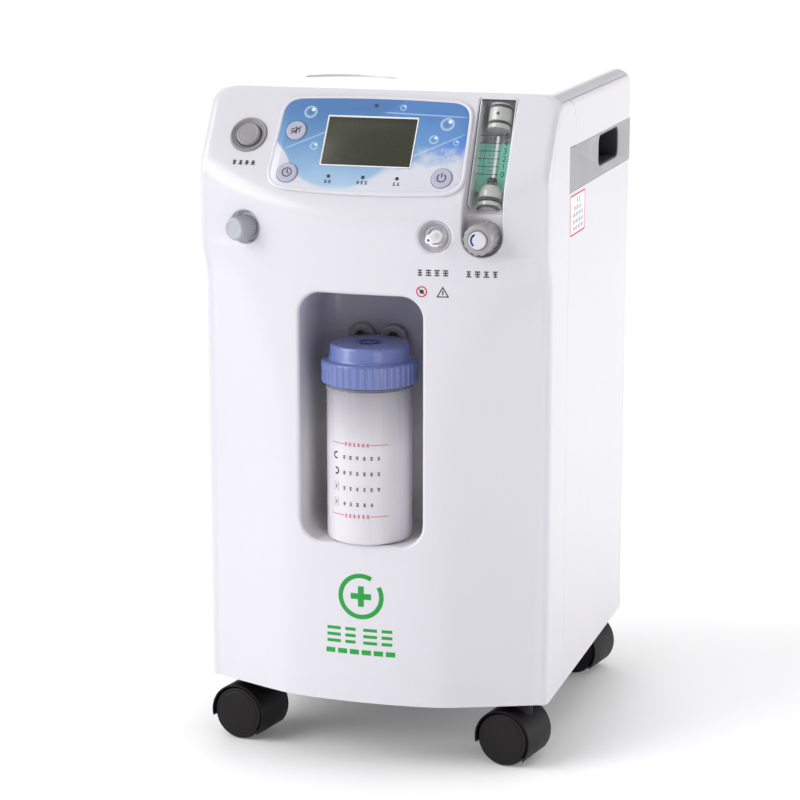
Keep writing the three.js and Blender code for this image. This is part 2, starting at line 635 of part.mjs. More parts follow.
// Flowmeter: clear block with a stepped bore, end fittings, float and backing plate
const boreZ = -meterDepth / 2;
const boreRadius = 5.2;
const fittingRadius = 10.6;
const topFitting = [-24, 0];
const baseFitting = [-meterLength, -75];
const meterBlock = block([-meterWidth / 2, meterWidth / 2], [-meterLength, 0], [-meterDepth, 0]);
const meterBores = [
  rodY(0, boreZ, [-meterLength - 1, 1], boreRadius),
  rodY(0, boreZ, [topFitting[0], 1], fittingRadius),
  rodY(0, boreZ, [-meterLength - 1, baseFitting[1]], fittingRadius),
].map(toSolid);
addPiece(meter, 'flowmeter_tube', cutAll(toSolid(meterBlock), meterBores), finishes.acrylic);
const fitting = ([low, high]) => rodY(0, boreZ, [low + 0.3, high - 0.3], fittingRadius - 0.3);
addPiece(meter, 'flowmeter_top_plug', fitting(topFitting), finishes.castMetal);
addPiece(meter, 'flowmeter_base_fitting', fitting(baseFitting), finishes.black);
addPiece(meter, 'flowmeter_scale', block([-15.3, 15.3], [-84, -28], [-meterDepth - 1.6, -meterDepth - 0.4]),
  finishes.teal);
addPiece(meter, 'flow_float', rodY(0, boreZ, [-74.7, -66.7], 4.6, 16), finishes.black);

// Compressor on its bracket
const motorY = 40;
const motorZ = 128;
const motorRadius = 46;
addPiece(concentrator, 'compressor_motor', rodX(motorY, motorZ, [-70, 70], motorRadius), finishes.castMetal);
for (const [side, range] of [['left', [-118, -70.4]], ['right', [70.4, 118]]]) {
  addPiece(concentrator, `compressor_head_${side}`, block(range, [motorY - 35, motorY + 35], [95, 165]),
    finishes.aluminium);
}
const bracket = joinAll([block([-75, 75], [motorY - 50, motorY + 50], [72, 75]),
  ...[-60, 52].map((x) => block([x, x + 8], [motorY - 20, motorY + 20], [74, motorZ - motorRadius - 0.4])),
  ...[-70, 50].flatMap((x) => [-48, 28].map((y) => block([x, x + 20], [motorY + y, motorY + y + 20],
    [trayFloor + 0.3, 73])))].map(toSolid));
addPiece(concentrator, 'compressor_bracket', bracket, finishes.castMetal);

// Gas path: intake muffler, sieve beds under their manifold, product tank
addPiece(concentrator, 'intake_muffler', rodZ(-118, -60, [85, 240], 24), finishes.black);
addPiece(concentrator, 'sieve_bed_left', rodZ(-45, 135, [205, 510], 31), finishes.aluminium);
addPiece(concentrator, 'sieve_bed_right', rodZ(35, 135, [205, 510], 31), finishes.aluminium);
addPiece(concentrator, 'valve_manifold', block([-85, 75], [110, 160], [510.4, 540]), finishes.aluminium);
addPiece(concentrator, 'product_tank', rodZ(116, 40, [215, 505], 34), finishes.castMetal);

// Cooling coil in front of the fan
class Coil extends THREE.Curve {
  getPoint(t, target = new THREE.Vector3()) {
    const angle = t * coilTurns * 2 * Math.PI;
    return target.set(fanX + coilRadius * Math.cos(angle), 118 + 26 * t, fanZ + coilRadius * Math.sin(angle));
  }
}
const coilTurns = 3;
const coilRadius = 44;
const tubeSection = fluted(4, 0, 3);
addPiece(concentrator, 'cooling_coil', new THREE.ExtrudeGeometry(tubeSection, {
  extrudePath: new Coil(), steps: 45, bevelEnabled: false }), finishes.copper);

// Cooling fan: square shroud with a strut, and a rotor turning about Y
const shroudY = [160, 184];
const shroudHalf = 60;
const shroudX = [fanX - shroudHalf, fanX + shroudHalf];
const shroudBlock = block(shroudX, shroudY, [fanZ - shroudHalf, fanZ + shroudHalf]);
const strut = block(shroudX, [shroudY[0], shroudY[0] + 2.5], [fanZ - 4, fanZ + 4]);
const shroudHole = toSolid(rodY(fanX, fanZ, [150, 200], 56, 32));
const shroud = toSolid(shroudBlock).subtract(shroudHole).add(toSolid(strut));
addPiece(concentrator, 'fan_shroud', shroud, finishes.black);
const bladeCount = 5;
const rotorParts = [toSolid(rodY(0, 0, [-9, 9], 19))];
for (let i = 0; i < bladeCount; i += 1) {
  const blade = block([10, 53], [-1.2, 1.2], [-15, 15]).rotateX(0.6).rotateY((i * 2 * Math.PI) / bladeCount);
  rotorParts.push(toSolid(blade));
}
const rotor = addGroup([fanX, 173, fanZ]);
addPiece(rotor, 'fan_rotor', joinAll(rotorParts), finishes.charcoal);

export default concentrator;
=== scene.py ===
# Looks for a floor-standing oxygen concentrator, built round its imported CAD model.
# Sizes in the dictionaries are millimetres in the model's frame: front towards -Y, +Z up.
import math
import random

import bmesh
import bpy
from mathutils import Matrix, Vector


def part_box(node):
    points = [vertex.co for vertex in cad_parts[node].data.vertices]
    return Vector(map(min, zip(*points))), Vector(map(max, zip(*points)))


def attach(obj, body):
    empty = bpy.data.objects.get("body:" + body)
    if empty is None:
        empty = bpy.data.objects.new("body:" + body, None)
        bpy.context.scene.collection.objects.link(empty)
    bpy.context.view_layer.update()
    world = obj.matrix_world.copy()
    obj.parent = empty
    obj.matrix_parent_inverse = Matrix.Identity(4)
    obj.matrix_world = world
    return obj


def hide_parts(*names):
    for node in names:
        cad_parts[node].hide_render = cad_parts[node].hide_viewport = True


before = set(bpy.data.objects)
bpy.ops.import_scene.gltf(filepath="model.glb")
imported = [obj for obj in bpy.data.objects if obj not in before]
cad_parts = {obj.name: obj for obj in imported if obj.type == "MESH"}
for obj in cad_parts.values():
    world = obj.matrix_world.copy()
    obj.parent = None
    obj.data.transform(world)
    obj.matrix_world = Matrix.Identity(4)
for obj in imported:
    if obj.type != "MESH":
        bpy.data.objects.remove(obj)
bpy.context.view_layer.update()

mm = 0.001


def nodeBox(*names):
    # lowest and highest corner of CAD nodes, in millimetres
    corners = [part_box(name) for name in names]
    low = [min(c[0][i] for c in corners) / mm for i in range(3)]
    high = [max(c[1][i] for c in corners) / mm for i in range(3)]
    return Vector(low), Vector(high)


def middle(*names):
    low, high = nodeBox(*names)
    return (low + high) / 2


def clamp(value, low, high):
    return max(low, min(high, value))


def mix(a, b, t):
    return a + (b - a) * t


def smoothStep(value, low, high):
    t = clamp((value - low) / (high - low), 0, 1)
    return t * t * (3 - 2 * t)


def softMax(a, b, softness):
    return (a + b + math.sqrt((a - b) ** 2 + softness ** 2)) / 2


def finishMesh(obj, material, sharpAngle=35, merge=0.01):
    bm = bmesh.new()
    bm.from_mesh(obj.data)
    bmesh.ops.remove_doubles(bm, verts=bm.verts, dist=merge * mm)
    bmesh.ops.recalc_face_normals(bm, faces=bm.faces)
    bm.to_mesh(obj.data)
    bm.free()
    obj.data.shade_smooth()
    obj.data.set_sharp_from_angle(angle=math.radians(sharpAngle))
    if material:
        obj.data.materials.clear()
        obj.data.materials.append(material)
    return obj


def addObject(name, mesh):
    obj = bpy.data.objects.new(name, mesh)
    bpy.context.scene.collection.objects.link(obj)
    return obj


def meshFrom(name, points, faces, material=None, sharpAngle=35, merge=0.01):
    mesh = bpy.data.meshes.new(name)
    mesh.from_pydata([Vector(p) * mm for p in points], [], faces)
    return finishMesh(addObject(name, mesh), material, sharpAngle, merge)


def gridFaces(rows, columns, wrap=False):
    span = columns if wrap else columns - 1
    faces = []
    for r in range(rows - 1):
        for c in range(span):
            n = (c + 1) % columns
            faces.append((r * columns + c, r * columns + n, (r + 1) * columns + n, (r + 1) * columns + c))
    return faces


def loft(name, rows, material=None, wrap=False, capped=False, sharpAngle=35, merge=0.01):
    count = len(rows[0])
    points = [p for row in rows for p in row]
    faces = gridFaces(len(rows), count, wrap)
    if capped:
        faces.append(tuple(range(count)))
        faces.append(tuple(range(len(points) - count, len(points))))
    return meshFrom(name, points, faces, material, sharpAngle, merge)


def lathe(name, profile, place, material=None, steps=64, sharpAngle=35):
    # profile of (radius, height) from axis to axis, or closed on itself, turned about the local +Z
    rows = []
    for i in range(steps):
        angle = 2 * math.pi * i / steps
        rows.append([(r * math.cos(angle), r * math.sin(angle), h) for r, h in profile])
    rows.append(rows[0])
    obj = loft(name, rows, material, sharpAngle=sharpAngle)
    obj.data.transform(inMetres(place))
    return finishMesh(obj, material, sharpAngle)


def moved(x, y, z):
    return Matrix.Translation((x, y, z))


def turned(degrees, axis):
    return Matrix.Rotation(math.radians(degrees), 4, axis)


def inMetres(matrix):
    result = matrix.copy()
    result.translation = result.translation * mm
    return result


def moveMesh(obj, place):
    obj.data.transform(inMetres(place))
    return obj


def rounded(profile, radius, steps=4):
    # rounds the inner corners of an open profile of 2D points
    result = [profile[0]]
    for before, corner, after in zip(profile, profile[1:], profile[2:]):
        a, c, b = Vector(before), Vector(corner), Vector(after)
        reach = min(radius, (a - c).length * 0.45, (b - c).length * 0.45)
        start = c + (a - c).normalized() * reach
        end = c + (b - c).normalized() * reach
        for i in range(steps + 1):
            t = i / steps
            result.append(tuple(start * (1 - t) ** 2 + c * 2 * t * (1 - t) + end * t * t))
    result.append(profile[-1])
    return result


def roundedBox(x, z, radius, steps=8):
    # closed outline of a rectangle with round corners, from (low, high) pairs
    points = []
    corners = [(x[1] - radius, z[0] + radius, -90), (x[1] - radius, z[1] - radius, 0),
               (x[0] + radius, z[1] - radius, 90), (x[0] + radius, z[0] + radius, 180)]
    for cx, cz, start in corners:
        for i in range(steps + 1):
            angle = math.radians(start + 90 * i / steps)
            points.append((cx + radius * math.cos(angle), cz + radius * math.sin(angle)))
    return points


def plate(name, outline, low, high, place, material=None, edge=0.4, sharpAngle=40):
    # flat piece with softened edges: outline in local XY, thickness along local Z
    points = [Vector((p[0], p[1])) for p in outline]
    rows = []
    for inset, height in ((edge, low), (0, low + edge), (0, high - edge),
                          (edge * 0.3, high - edge * 0.3), (edge, high)):
        row = []
        for i, p in enumerate(points):
            ahead, behind = points[(i + 1) % len(points)], points[i - 1]
            along = ahead - behind
            normal = Vector((along.y, -along.x)).normalized() if along.length else Vector((0, 0))
            q = p - normal * inset
            row.append((q.x, q.y, height))
        rows.append(row)
    obj = loft(name, rows, None, wrap=True, capped=True, merge=0.001)
    moveMesh(obj, place)
    return finishMesh(obj, material, sharpAngle, merge=0.001)


def evaluatedMesh(obj):
    graph = bpy.context.evaluated_depsgraph_get()
    return bpy.data.meshes.new_from_object(obj.evaluated_get(graph))


def bake(obj):
    # replaces a piece's mesh by its evaluated one and drops its modifiers
    mesh = evaluatedMesh(obj)
    obj.modifiers.clear()
    obj.data = mesh
    return obj


def carve(obj, cutters, operation="DIFFERENCE"):
    for cutter in cutters:
        modifier = obj.modifiers.new("carve", "BOOLEAN")
        modifier.operation = operation
        modifier.solver = "EXACT"
        modifier.object = cutter
        bake(obj)
        bpy.data.objects.remove(cutter)
    return obj


def plainMesh(name, holder):
    # turns a curve or text object into a mesh object
    mesh = evaluatedMesh(holder)
    bpy.data.objects.remove(holder)
    return addObject(name, mesh)


def softEdges(obj, width):
    bevel = obj.modifiers.new("edge", "BEVEL")
    bevel.width, bevel.segments, bevel.limit_method = width * mm, 2, "ANGLE"
    return bake(obj)


def drill(radius, low, high, where, steps):
    # round cutter about the local Z
    return lathe("hole", [(0, low), (radius, low), (radius, high), (0, high)], where, steps=steps)


def wire(name, points, radius, material):
    curve = bpy.data.curves.new(name, "CURVE")
    curve.dimensions = "3D"
    curve.bevel_depth = radius * mm
    curve.bevel_resolution = 4
    curve.use_fill_caps = True
    spline = curve.splines.new("POLY")
    spline.points.add(len(points) - 1)
    for target, p in zip(spline.points, points):
        target.co = (p[0] * mm, p[1] * mm, p[2] * mm, 1)
    return finishMesh(plainMesh(name, addObject(name, curve)), material, 40, merge=0.001)


def joined(name, objects, material=None):
    bm = bmesh.new()
    for obj in objects:
        bm.from_mesh(obj.data)
    mesh = bpy.data.meshes.new(name)
    bm.to_mesh(mesh)
    bm.free()
    for obj in objects:
        bpy.data.objects.remove(obj)
    result = addObject(name, mesh)
    mesh.shade_smooth()
    mesh.set_sharp_from_angle(angle=math.radians(35))
    if material:
        mesh.materials.append(material)
    return result


def keep(piece, body, slotName, *nodes):
    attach(piece, body)
    if nodes:
        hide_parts(*nodes)
    return piece


def faceToward(obj, direction):
    total = sum((p.normal * p.area for p in obj.data.polygons), Vector())
    if total.dot(Vector(direction)) < 0:
        obj.data.flip_normals()
    return obj


def walled(obj, thickness, material, sharpAngle=40):
    # gives an open skin its wall, behind the side it faces
    modifier = obj.modifiers.new("wall", "SOLIDIFY")
    modifier.thickness = thickness * mm
    modifier.offset = -1
    bake(obj)
    return finishMesh(obj, material, sharpAngle, merge=0.001)


def prism(name, outline, span, axis):
    # closed outline run between two levels of an axis: "x" takes (y, z) points, "y" takes (x, z) points
    def at(a, b, level):
        return (level, a, b) if axis == "x" else (a, level, b)
    rows = [[at(a, b, level) for a, b in outline] for level in span]
    return loft(name, rows, wrap=True, capped=True, merge=0.0001)


def arc(centre, radius, start, end, steps):
    return [(centre[0] + radius * math.cos(math.radians(mix(start, end, i / steps))),
             centre[1] + radius * math.sin(math.radians(mix(start, end, i / steps))))
            for i in range(steps + 1)]


def throat(name, outline, skin, floor, core, at, lip, fillet, inward, material, thickness=1.5):
    # rounded mouth, wall and floor of a hollow: outline runs round the mouth, skin and floor give
    # levels, core gives the middle line that a bent floor closes on
    centred = [Vector(p) for p in outline]
    count = len(centred)
    middlePoint = sum(centred, Vector((0, 0))) / count
    normals = []
    for i, p in enumerate(centred):
        along = centred[(i + 1) % count] - centred[i - 1]
        normal = Vector((along.y, -along.x)).normalized()
        normals.append(normal if normal.dot(p - middlePoint) > 0 else -normal)
    rows = []
    lipSteps, wallSteps, filletSteps = 7, 3, 6
    for i in range(lipSteps + 1):
        angle = math.radians(90 * i / lipSteps)
        spread, drop = lip * (1 - math.sin(angle)), lip * (1 - math.cos(angle))
        rim = [p + n * spread for p, n in zip(centred, normals)]
        rows.append([(q, skin(*q) + inward * drop) for q in rim])
    mouth = rows[-1]
    for i in range(1, wallSteps + 1):
        part = i / wallSteps
        rows.append([(q, mix(level, floor(*q) - inward * fillet(*n), part))
                     for (q, level), n in zip(mouth, normals)])
    for i in range(1, filletSteps + 1):
        angle = math.radians(90 * i / filletSteps)
        across, up = 1 - math.cos(angle), 1 - math.sin(angle)
        rows.append([(p - n * fillet(*n) * across, floor(*p) - inward * fillet(*n) * up)
                     for p, n in zip(centred, normals)])
    rim = [q for q, level in rows[-1]]
    if core:
        for part in (0.3, 0.65, 1):
            rows.append([(q, floor(*q)) for q in (p.lerp(Vector(core(*p)), part) for p in rim)])
    grid = [[at(q.x, q.y, level) for q, level in row] for row in rows]
    points = [p for row in grid for p in row]
    faces = gridFaces(len(grid), count, True)
    if not core:  # a flat floor is a single face
        faces.append(tuple(range(len(points) - count, len(points))))
    obj = meshFrom(name, points, faces, None, 40, merge=0.02)
    out = Vector(at(0, 0, -inward)) - Vector(at(0, 0, 0))
    faceToward(obj, out)
    return walled(obj, thickness, material)


def printed(name, wrap, material, strips=(), fills=(), lift=0.12):
    # raised ink: strips are (path, width, closed), fills are convex outlines, wrap(u, v, height)
    # places a point
    sunk = -0.2
    points, faces = [], []
    for path, width, closed in strips:
        path = [Vector(p) for p in path]
        count, first = len(path), len(points)
        for i, p in enumerate(path):
            ahead = path[(i + 1) % count] if closed or i + 1 < count else p
            behind = path[i - 1] if closed or i else p
            along = (ahead - behind).normalized()
            side = Vector((-along.y, along.x)) * width / 2
            for q, height in ((p - side, sunk), (p - side, lift), (p + side, lift), (p + side, sunk)):
                points.append(wrap(q.x, q.y, height))
        for i in range(count if closed else count - 1):
            a, b = first + 4 * i, first + 4 * ((i + 1) % count)
            for k in range(4):
                n = (k + 1) % 4
                faces.append((a + k, a + n, b + n, b + k))
        if not closed:
            last = first + 4 * (count - 1)
            faces.append((first, first + 1, first + 2, first + 3))
            faces.append((last + 3, last + 2, last + 1, last))
    for outline in fills:
        first, count = len(points), len(outline)
        for height in (sunk, lift):
            points.extend(wrap(u, v, height) for u, v in outline)
        for i in range(count):
            n = (i + 1) % count
            faces.append((first + i, first + n, first + count + n, first + count + i))
        faces.append(tuple(range(first, first + count)))
        faces.append(tuple(range(first + count, first + 2 * count)))
    return meshFrom(name, points, faces, material, sharpAngle=20, merge=0.0001)


def box2(u0, v0, u1, v1):
    return [(u0, v0), (u1, v0), (u1, v1), (u0, v1)]


def circle(centre, radius, steps=28):
    return arc(centre, radius, 0, 360 * (steps - 1) / steps, steps - 1)


def strokeLine(centre, count, size, step, seed):
    # one line of neutral marks where a caption stands: stacked dashes, not letters
    random.seed(seed)
    strips = []
    left = centre[0] - step * (count - 1) / 2
    for i in range(count):
        for level in (-0.38, 0, 0.38):
            half = size * random.uniform(0.26, 0.46)
            x, y = left + i * step, centre[1] + level * size
            strips.append(([(x - half, y), (x + half, y)], size * 0.2, False))
        x, reach = left + i * step, size * 0.42
        strips.append(([(x, centre[1] - reach), (x, centre[1] + reach)], size * 0.15, False))
    return strips


def shade(text):
    # sRGB hex to linear colour
    values = [int(text[i:i + 2], 16) / 255 for i in (0, 2, 4)]
    return tuple(v / 12.92 if v <= 0.04045 else ((v + 0.055) / 1.055) ** 2.4 for v in values) + (1.0,)


def feed(tree, value, socket):
    # links a socket, or sets a plain value
    if isinstance(value, bpy.types.NodeSocket):
        tree.links.new(value, socket)
    else:
        socket.default_value = value


def node(tree, kind, inputs=None, **settings):
    made = tree.nodes.new(kind)
    for name, value in settings.items():
        setattr(made, name, value)
    for name, value in (inputs or {}).items():
        feed(tree, value, made.inputs[name])
    return made


def startMaterial(name, **sockets):
    material = bpy.data.materials.new(name)
    material.use_nodes = True
    tree = material.node_tree
    shader = tree.nodes["Principled BSDF"]
    for socket, value in sockets.items():
        shader.inputs[socket.replace("_", " ")].default_value = value
    return material, tree, shader


def place(tree, scale=(1, 1, 1)):
    coordinate = node(tree, "ShaderNodeTexCoord").outputs["Object"]
    return node(tree, "ShaderNodeMapping", {"Vector": coordinate, "Scale": scale}).outputs["Vector"]


def alongAxis(tree, vector, axis):
    return node(tree, "ShaderNodeSeparateXYZ", {"Vector": vector}).outputs[axis]


def noise(tree, vector, scale, detail=3.0, roughness=0.55):
    return node(tree, "ShaderNodeTexNoise", {"Vector": vector, "Scale": scale, "Detail": detail,
                                             "Roughness": roughness}).outputs["Fac"]


def remap(tree, value, low, high, toLow, toHigh):
    return node(tree, "ShaderNodeMapRange", {"Value": value, "From Min": low, "From Max": high,
                                             "To Min": toLow, "To Max": toHigh}).outputs["Result"]


def blendColour(tree, factor, first, second, mode="MIX"):
    made = node(tree, "ShaderNodeMix", data_type="RGBA", blend_type=mode)
    for socket, value in ((0, factor), (6, first), (7, second)):
        feed(tree, value, made.inputs[socket])
    return made.outputs[2]


def math2(tree, operation, a, b=0.0):
    made = node(tree, "ShaderNodeMath", operation=operation)
    for socket, value in zip(made.inputs, (a, b)):
        feed(tree, value, socket)
    return made.outputs[0]


def times(tree, a, b):
    return math2(tree, "MULTIPLY", a, b)


def bump(tree, shader, height, strength, distance):
    made = node(tree, "ShaderNodeBump", {"Height": height, "Strength": strength, "Distance": distance})
    tree.links.new(made.outputs["Normal"], shader.inputs["Normal"])


def moulded(name, colour, darker, roughness, grain, height, coat=0.0, spread=0.05, **sockets):
    # injection moulded plastic: slow tint drift, uneven gloss and a fine tool texture
    material, tree, shader = startMaterial(name, Coat_Weight=coat, Coat_Roughness=0.12, **sockets)
    spot = place(tree)
    drift = remap(tree, noise(tree, spot, 9.0, 2.0), 0.35, 0.65, 0.0, 1.0)
    tree.links.new(blendColour(tree, drift, shade(colour), shade(darker)), shader.inputs["Base Color"])
    rub = remap(tree, noise(tree, spot, 38.0, 5.0, 0.65), 0.3, 0.7, roughness - spread, roughness + spread)
    tree.links.new(rub, shader.inputs["Roughness"])
    bump(tree, shader, noise(tree, spot, grain, 2.0), 0.35, height)
    return material


def dustyWhite(name, colour, darker, roughness, seam):
    # glossy cabinet white, with a faint grey film that gathers low down
    material, tree, shader = startMaterial(name, Coat_Weight=0.35, Coat_Roughness=0.08,
                                           Specular_IOR_Level=0.5)
    spot = place(tree)
    drift = remap(tree, noise(tree, spot, 3.0, 1.0), 0.3, 0.7, 0.0, 1.0)
    tint = blendColour(tree, drift, shade(colour), shade(darker))
    low = remap(tree, alongAxis(tree, spot, "Z"), 0.055, 0.12, 1.0, 0.0)
    film = times(tree, low, remap(tree, noise(tree, spot, 60.0, 6.0), 0.4, 0.7, 0.0, 0.07))
    tree.links.new(blendColour(tree, film, tint, shade(seam)), shader.inputs["Base Color"])
    rub = noise(tree, spot, 35.0, 2.0)
    tree.links.new(remap(tree, rub, 0.3, 0.7, roughness, roughness + 0.02), shader.inputs["Roughness"])
    bump(tree, shader, noise(tree, spot, 900.0, 1.0), 0.04, 0.00004)
    return material


def metal(name, colour, roughness, stretch=(1, 1, 1), scale=140.0, flecks=0.06):
    # turned or cast metal with drawn streaks along one axis
    material, tree, shader = startMaterial(name, Metallic=1.0)
    streak = noise(tree, place(tree, stretch), scale, 4.0)
    tone = remap(tree, streak, 0.3, 0.7, 0.0, 1.0)
    dark = tuple(c * 0.72 for c in shade(colour)[:3]) + (1.0,)
    tree.links.new(blendColour(tree, tone, shade(colour), dark), shader.inputs["Base Color"])
    tree.links.new(remap(tree, streak, 0.3, 0.7, roughness - flecks, roughness + flecks),
                   shader.inputs["Roughness"])
    bump(tree, shader, streak, 0.2, 0.0002)
    return material


def linerGrey(name, rim, deep, far, low, roughness):
    # painted shade: white at the mouth and low down, darkening to a cooler satin grey deep in the upper part,
    # where the hollow lies in shade
    material, tree, shader = startMaterial(name, Coat_Weight=0.15, Coat_Roughness=0.2)
    spot = place(tree)
    depth, level = alongAxis(tree, spot, "Y"), alongAxis(tree, spot, "Z")
    # painted shade: the wall darkens with depth and towards the top, and is painted near-white low down where
    # more light reaches
    wall = blendColour(tree, remap(tree, depth, -0.15, -0.09, 0.0, 1.0), shade(deep), shade(far))
    wall = blendColour(tree, remap(tree, level, 0.385, 0.29, 0.0, 1.0), wall, shade(low))
    tint = blendColour(tree, remap(tree, depth, -0.172, -0.15, 0.0, 1.0), shade(rim), wall)
    cloud = remap(tree, noise(tree, spot, 24.0, 4.0), 0.35, 0.65, 0.97, 1.0)
    tree.links.new(blendColour(tree, 1.0, tint, cloud, "MULTIPLY"), shader.inputs["Base Color"])
    rub = remap(tree, noise(tree, spot, 45.0, 5.0), 0.3, 0.7, roughness - 0.06, roughness + 0.06)
    tree.links.new(rub, shader.inputs["Roughness"])
    bump(tree, shader, noise(tree, spot, 500.0, 2.0), 0.3, 0.0002)
    return material


cabinetWhite = dustyWhite("cabinet_white", "d2d0d7", "d0ced5", 0.3, "b9b5b2")
# the bay liner's greys are painted shade inside the hollow
bayPaintedShade = linerGrey("bay_grey", "d2d0d7", "bdbac6", "9f9cad", "f7f6f9", 0.38)
bandGrey = moulded("band_grey", "9d9ca0", "959499", 0.42, 900.0, 0.0003, spread=0.06)
gripCharcoal = moulded("grip_charcoal", "302e38", "292831", 0.55, 1100.0, 0.0005)
keyGrey = moulded("key_grey", "adadc0", "a7a7bb", 0.4, 900.0, 0.0002, coat=0.15)
fittingGrey = moulded("fitting_grey", "adafb6", "a5a7ae", 0.42, 900.0, 0.0003)
portGrey = moulded("port_grey", "929093", "8a888c", 0.38, 900.0, 0.0002, coat=0.1)
knobGrey = moulded("knob_grey", "9b999b", "928f92", 0.33, 700.0, 0.0002, coat=0.2)
lidBlue = moulded("lid_blue", "6472ac", "5e6ca5", 0.3, 700.0, 0.0001, coat=0.5)
casterBlack = moulded("caster_black", "120f11", "161315", 0.5, 900.0, 0.0002, spread=0.05,
                      Specular_IOR_Level=0.2)
baseBlack = moulded("base_black", "2b2a2c", "232224", 0.6, 500.0, 0.0005)
inkBlack = moulded("ink_black", "26252a", "2e2d33", 0.5, 1500.0, 0.0001)
inkRed = moulded("ink_red", "c23b4c", "b53345", 0.5, 1500.0, 0.0001)
inkGreen = moulded("ink_green", "069a35", "058f30", 0.42, 1500.0, 0.0001)
inkNavy = moulded("ink_navy", "2c2c7c", "26266e", 0.45, 1500.0, 0.0001)
capWhite = moulded("cap_white", "cccbd4", "c6c5ce", 0.35, 1200.0, 0.0001)
labelWhite = moulded("label_white", "f3f1f3", "ecebef", 0.4, 1200.0, 0.0001)
lensDark = moulded("lens_dark", "34343c", "2a2a31", 0.2, 1500.0, 0.0001, coat=0.4)
turnedAluminium = metal("turned_aluminium", "b9bbc0", 0.34, (1, 1, 0.05))
castAluminium = metal("cast_aluminium", "97999d", 0.5, (1, 1, 1), 260.0, 0.1)
drawnCopper = metal("drawn_copper", "c07a4c", 0.3, (1, 0.2, 1))
platedSteel = metal("plated_steel", "a8a8ac", 0.28, (1, 1, 1), 300.0)


def clearPlastic(name, colour, roughness, clear, edge):
    # polished clear block: see-through face on, denser where it is seen along its edges
    material, tree, shader = startMaterial(name, Coat_Weight=1.0, Coat_Roughness=0.03)
    spot = place(tree)
    haze = noise(tree, spot, 60.0, 2.0)
    faint = tuple(c * 0.9 for c in shade(colour)[:3]) + (1.0,)
    tree.links.new(blendColour(tree, remap(tree, haze, 0.3, 0.7, 0.0, 1.0), shade(colour), faint),
                   shader.inputs["Base Color"])
    tree.links.new(remap(tree, haze, 0.35, 0.7, roughness, roughness + 0.05), shader.inputs["Roughness"])
    facing = node(tree, "ShaderNodeLayerWeight", {"Blend": 0.35}).outputs["Facing"]
    tree.links.new(remap(tree, facing, 0.15, 0.95, clear, edge), shader.inputs["Alpha"])
    return material


clearAcrylic = clearPlastic("clear_acrylic", "dde4e2", 0.04, 0.04, 0.42)


cabinet = {
    "bowCurve": 960, "archFoot": 260, "archCrown": 462, "archNarrow": 74, "archWide": 150, "archPower": 1.7,
    "flankEdge": -138.5, "shoulderEdge": -152.4, "shoulder": (430, 470), "frontCorner": 8, "rearCorner": 12,
    "topRound": (20, 14), "slopeTop": -105.6, "slopeLean": 0.6864, "edgeRound": 5, "creaseSoft": 2.5,
    "slopeSoft": 5, "wall": 3, "seam": 0.4,
}
shellLow, shellHigh = nodeBox("front_cover", "side_panel_left", "side_panel_right", "back_panel", "top_cover")
halfWidth, bodyTop, bodyBottom = shellHigh.x, shellHigh.z, shellLow.z
slopeAngle = math.atan2(1, cabinet["slopeLean"])
slopeSin, slopeCos = math.sin(slopeAngle), math.cos(slopeAngle)
bandLow, bandHigh = nodeBox("handle_band_right")
seamY = bandLow.y - cabinet["seam"]
seamUpperY = seamY + 24
seamTopZ = nodeBox("side_panel_right")[1].z
coverLipY = nodeBox("top_cover")[0].y - cabinet["seam"]
backSeamY = nodeBox("back_panel")[0].y


def bowY(x):
    return shellLow.y + x * x / cabinet["bowCurve"]


def slopeY(z):
    # the leaning panel face, rounded into the top edge
    radius = cabinet["edgeRound"]
    centreY = cabinet["slopeTop"] + radius * (1 - slopeCos) / slopeSin
    centreZ = bodyTop - radius
    if z > centreZ + radius * slopeCos:
        return centreY - math.sqrt(max(0, radius ** 2 - (z - centreZ) ** 2))
    return cabinet["slopeTop"] - cabinet["slopeLean"] * (bodyTop - z)


def creaseX(z):
    t = clamp((z - cabinet["archFoot"]) / (cabinet["archCrown"] - cabinet["archFoot"]), 0, 1)
    power = cabinet["archPower"]
    arch = (1 - t ** power) ** (1 / power)
    return cabinet["archWide"] - (cabinet["archWide"] - cabinet["archNarrow"]) * arch


def frontSkin(x, z, inset=0):
    # level of the front face: bow, flanks and leaning panel, softened where they meet
    crease = creaseX(z)
    edge = mix(cabinet["flankEdge"], cabinet["shoulderEdge"], smoothStep(z, *cabinet["shoulder"]))
    corner = halfWidth - cabinet["frontCorner"]
    slope = (edge - bowY(crease)) / (corner - crease)
    flank = bowY(crease) + slope * (abs(x) - crease)
    y = softMax(bowY(x), flank, cabinet["creaseSoft"])
    return softMax(y + inset, slopeY(z) + inset / slopeSin, cabinet["slopeSoft"])


def bodyOutline(z, inset):
    width, height = cabinet["topRound"]
    rise = clamp((z + inset - bodyTop + height) / height, 0, 1)
    narrowing = width * (1 - math.sqrt(1 - rise * rise))
    cornerX = halfWidth - cabinet["frontCorner"] - narrowing
    rearX = halfWidth - cabinet["rearCorner"] - narrowing
    rearY = shellHigh.y - cabinet["rearCorner"] - narrowing
    right = [(cornerX * i / 40, frontSkin(cornerX * i / 40, z, inset)) for i in range(41)]
    radius = cabinet["frontCorner"] - inset
    cornerY = right[-1][1] - inset + cabinet["frontCorner"]
    right += arc((cornerX, cornerY), radius, -90, 0, 7)[1:]
    sideX = cornerX + radius
    right += [(sideX, mix(cornerY, rearY, i / 12)) for i in range(1, 12)]
    right += arc((rearX, rearY), cabinet["rearCorner"] - inset, 0, 90, 7)
    backY = rearY + cabinet["rearCorner"] - inset
    right += [(rearX * (1 - i / 6), backY) for i in range(1, 7)]
    return right + [(-x, y) for x, y in reversed(right[1:-1])]


def levels(*stretches):
    result = []
    for low, high, step in stretches:
        count = max(1, round((high - low) / step))
        result += [mix(low, high, i / count) for i in range(count)]
    return result + [stretches[-1][1]]


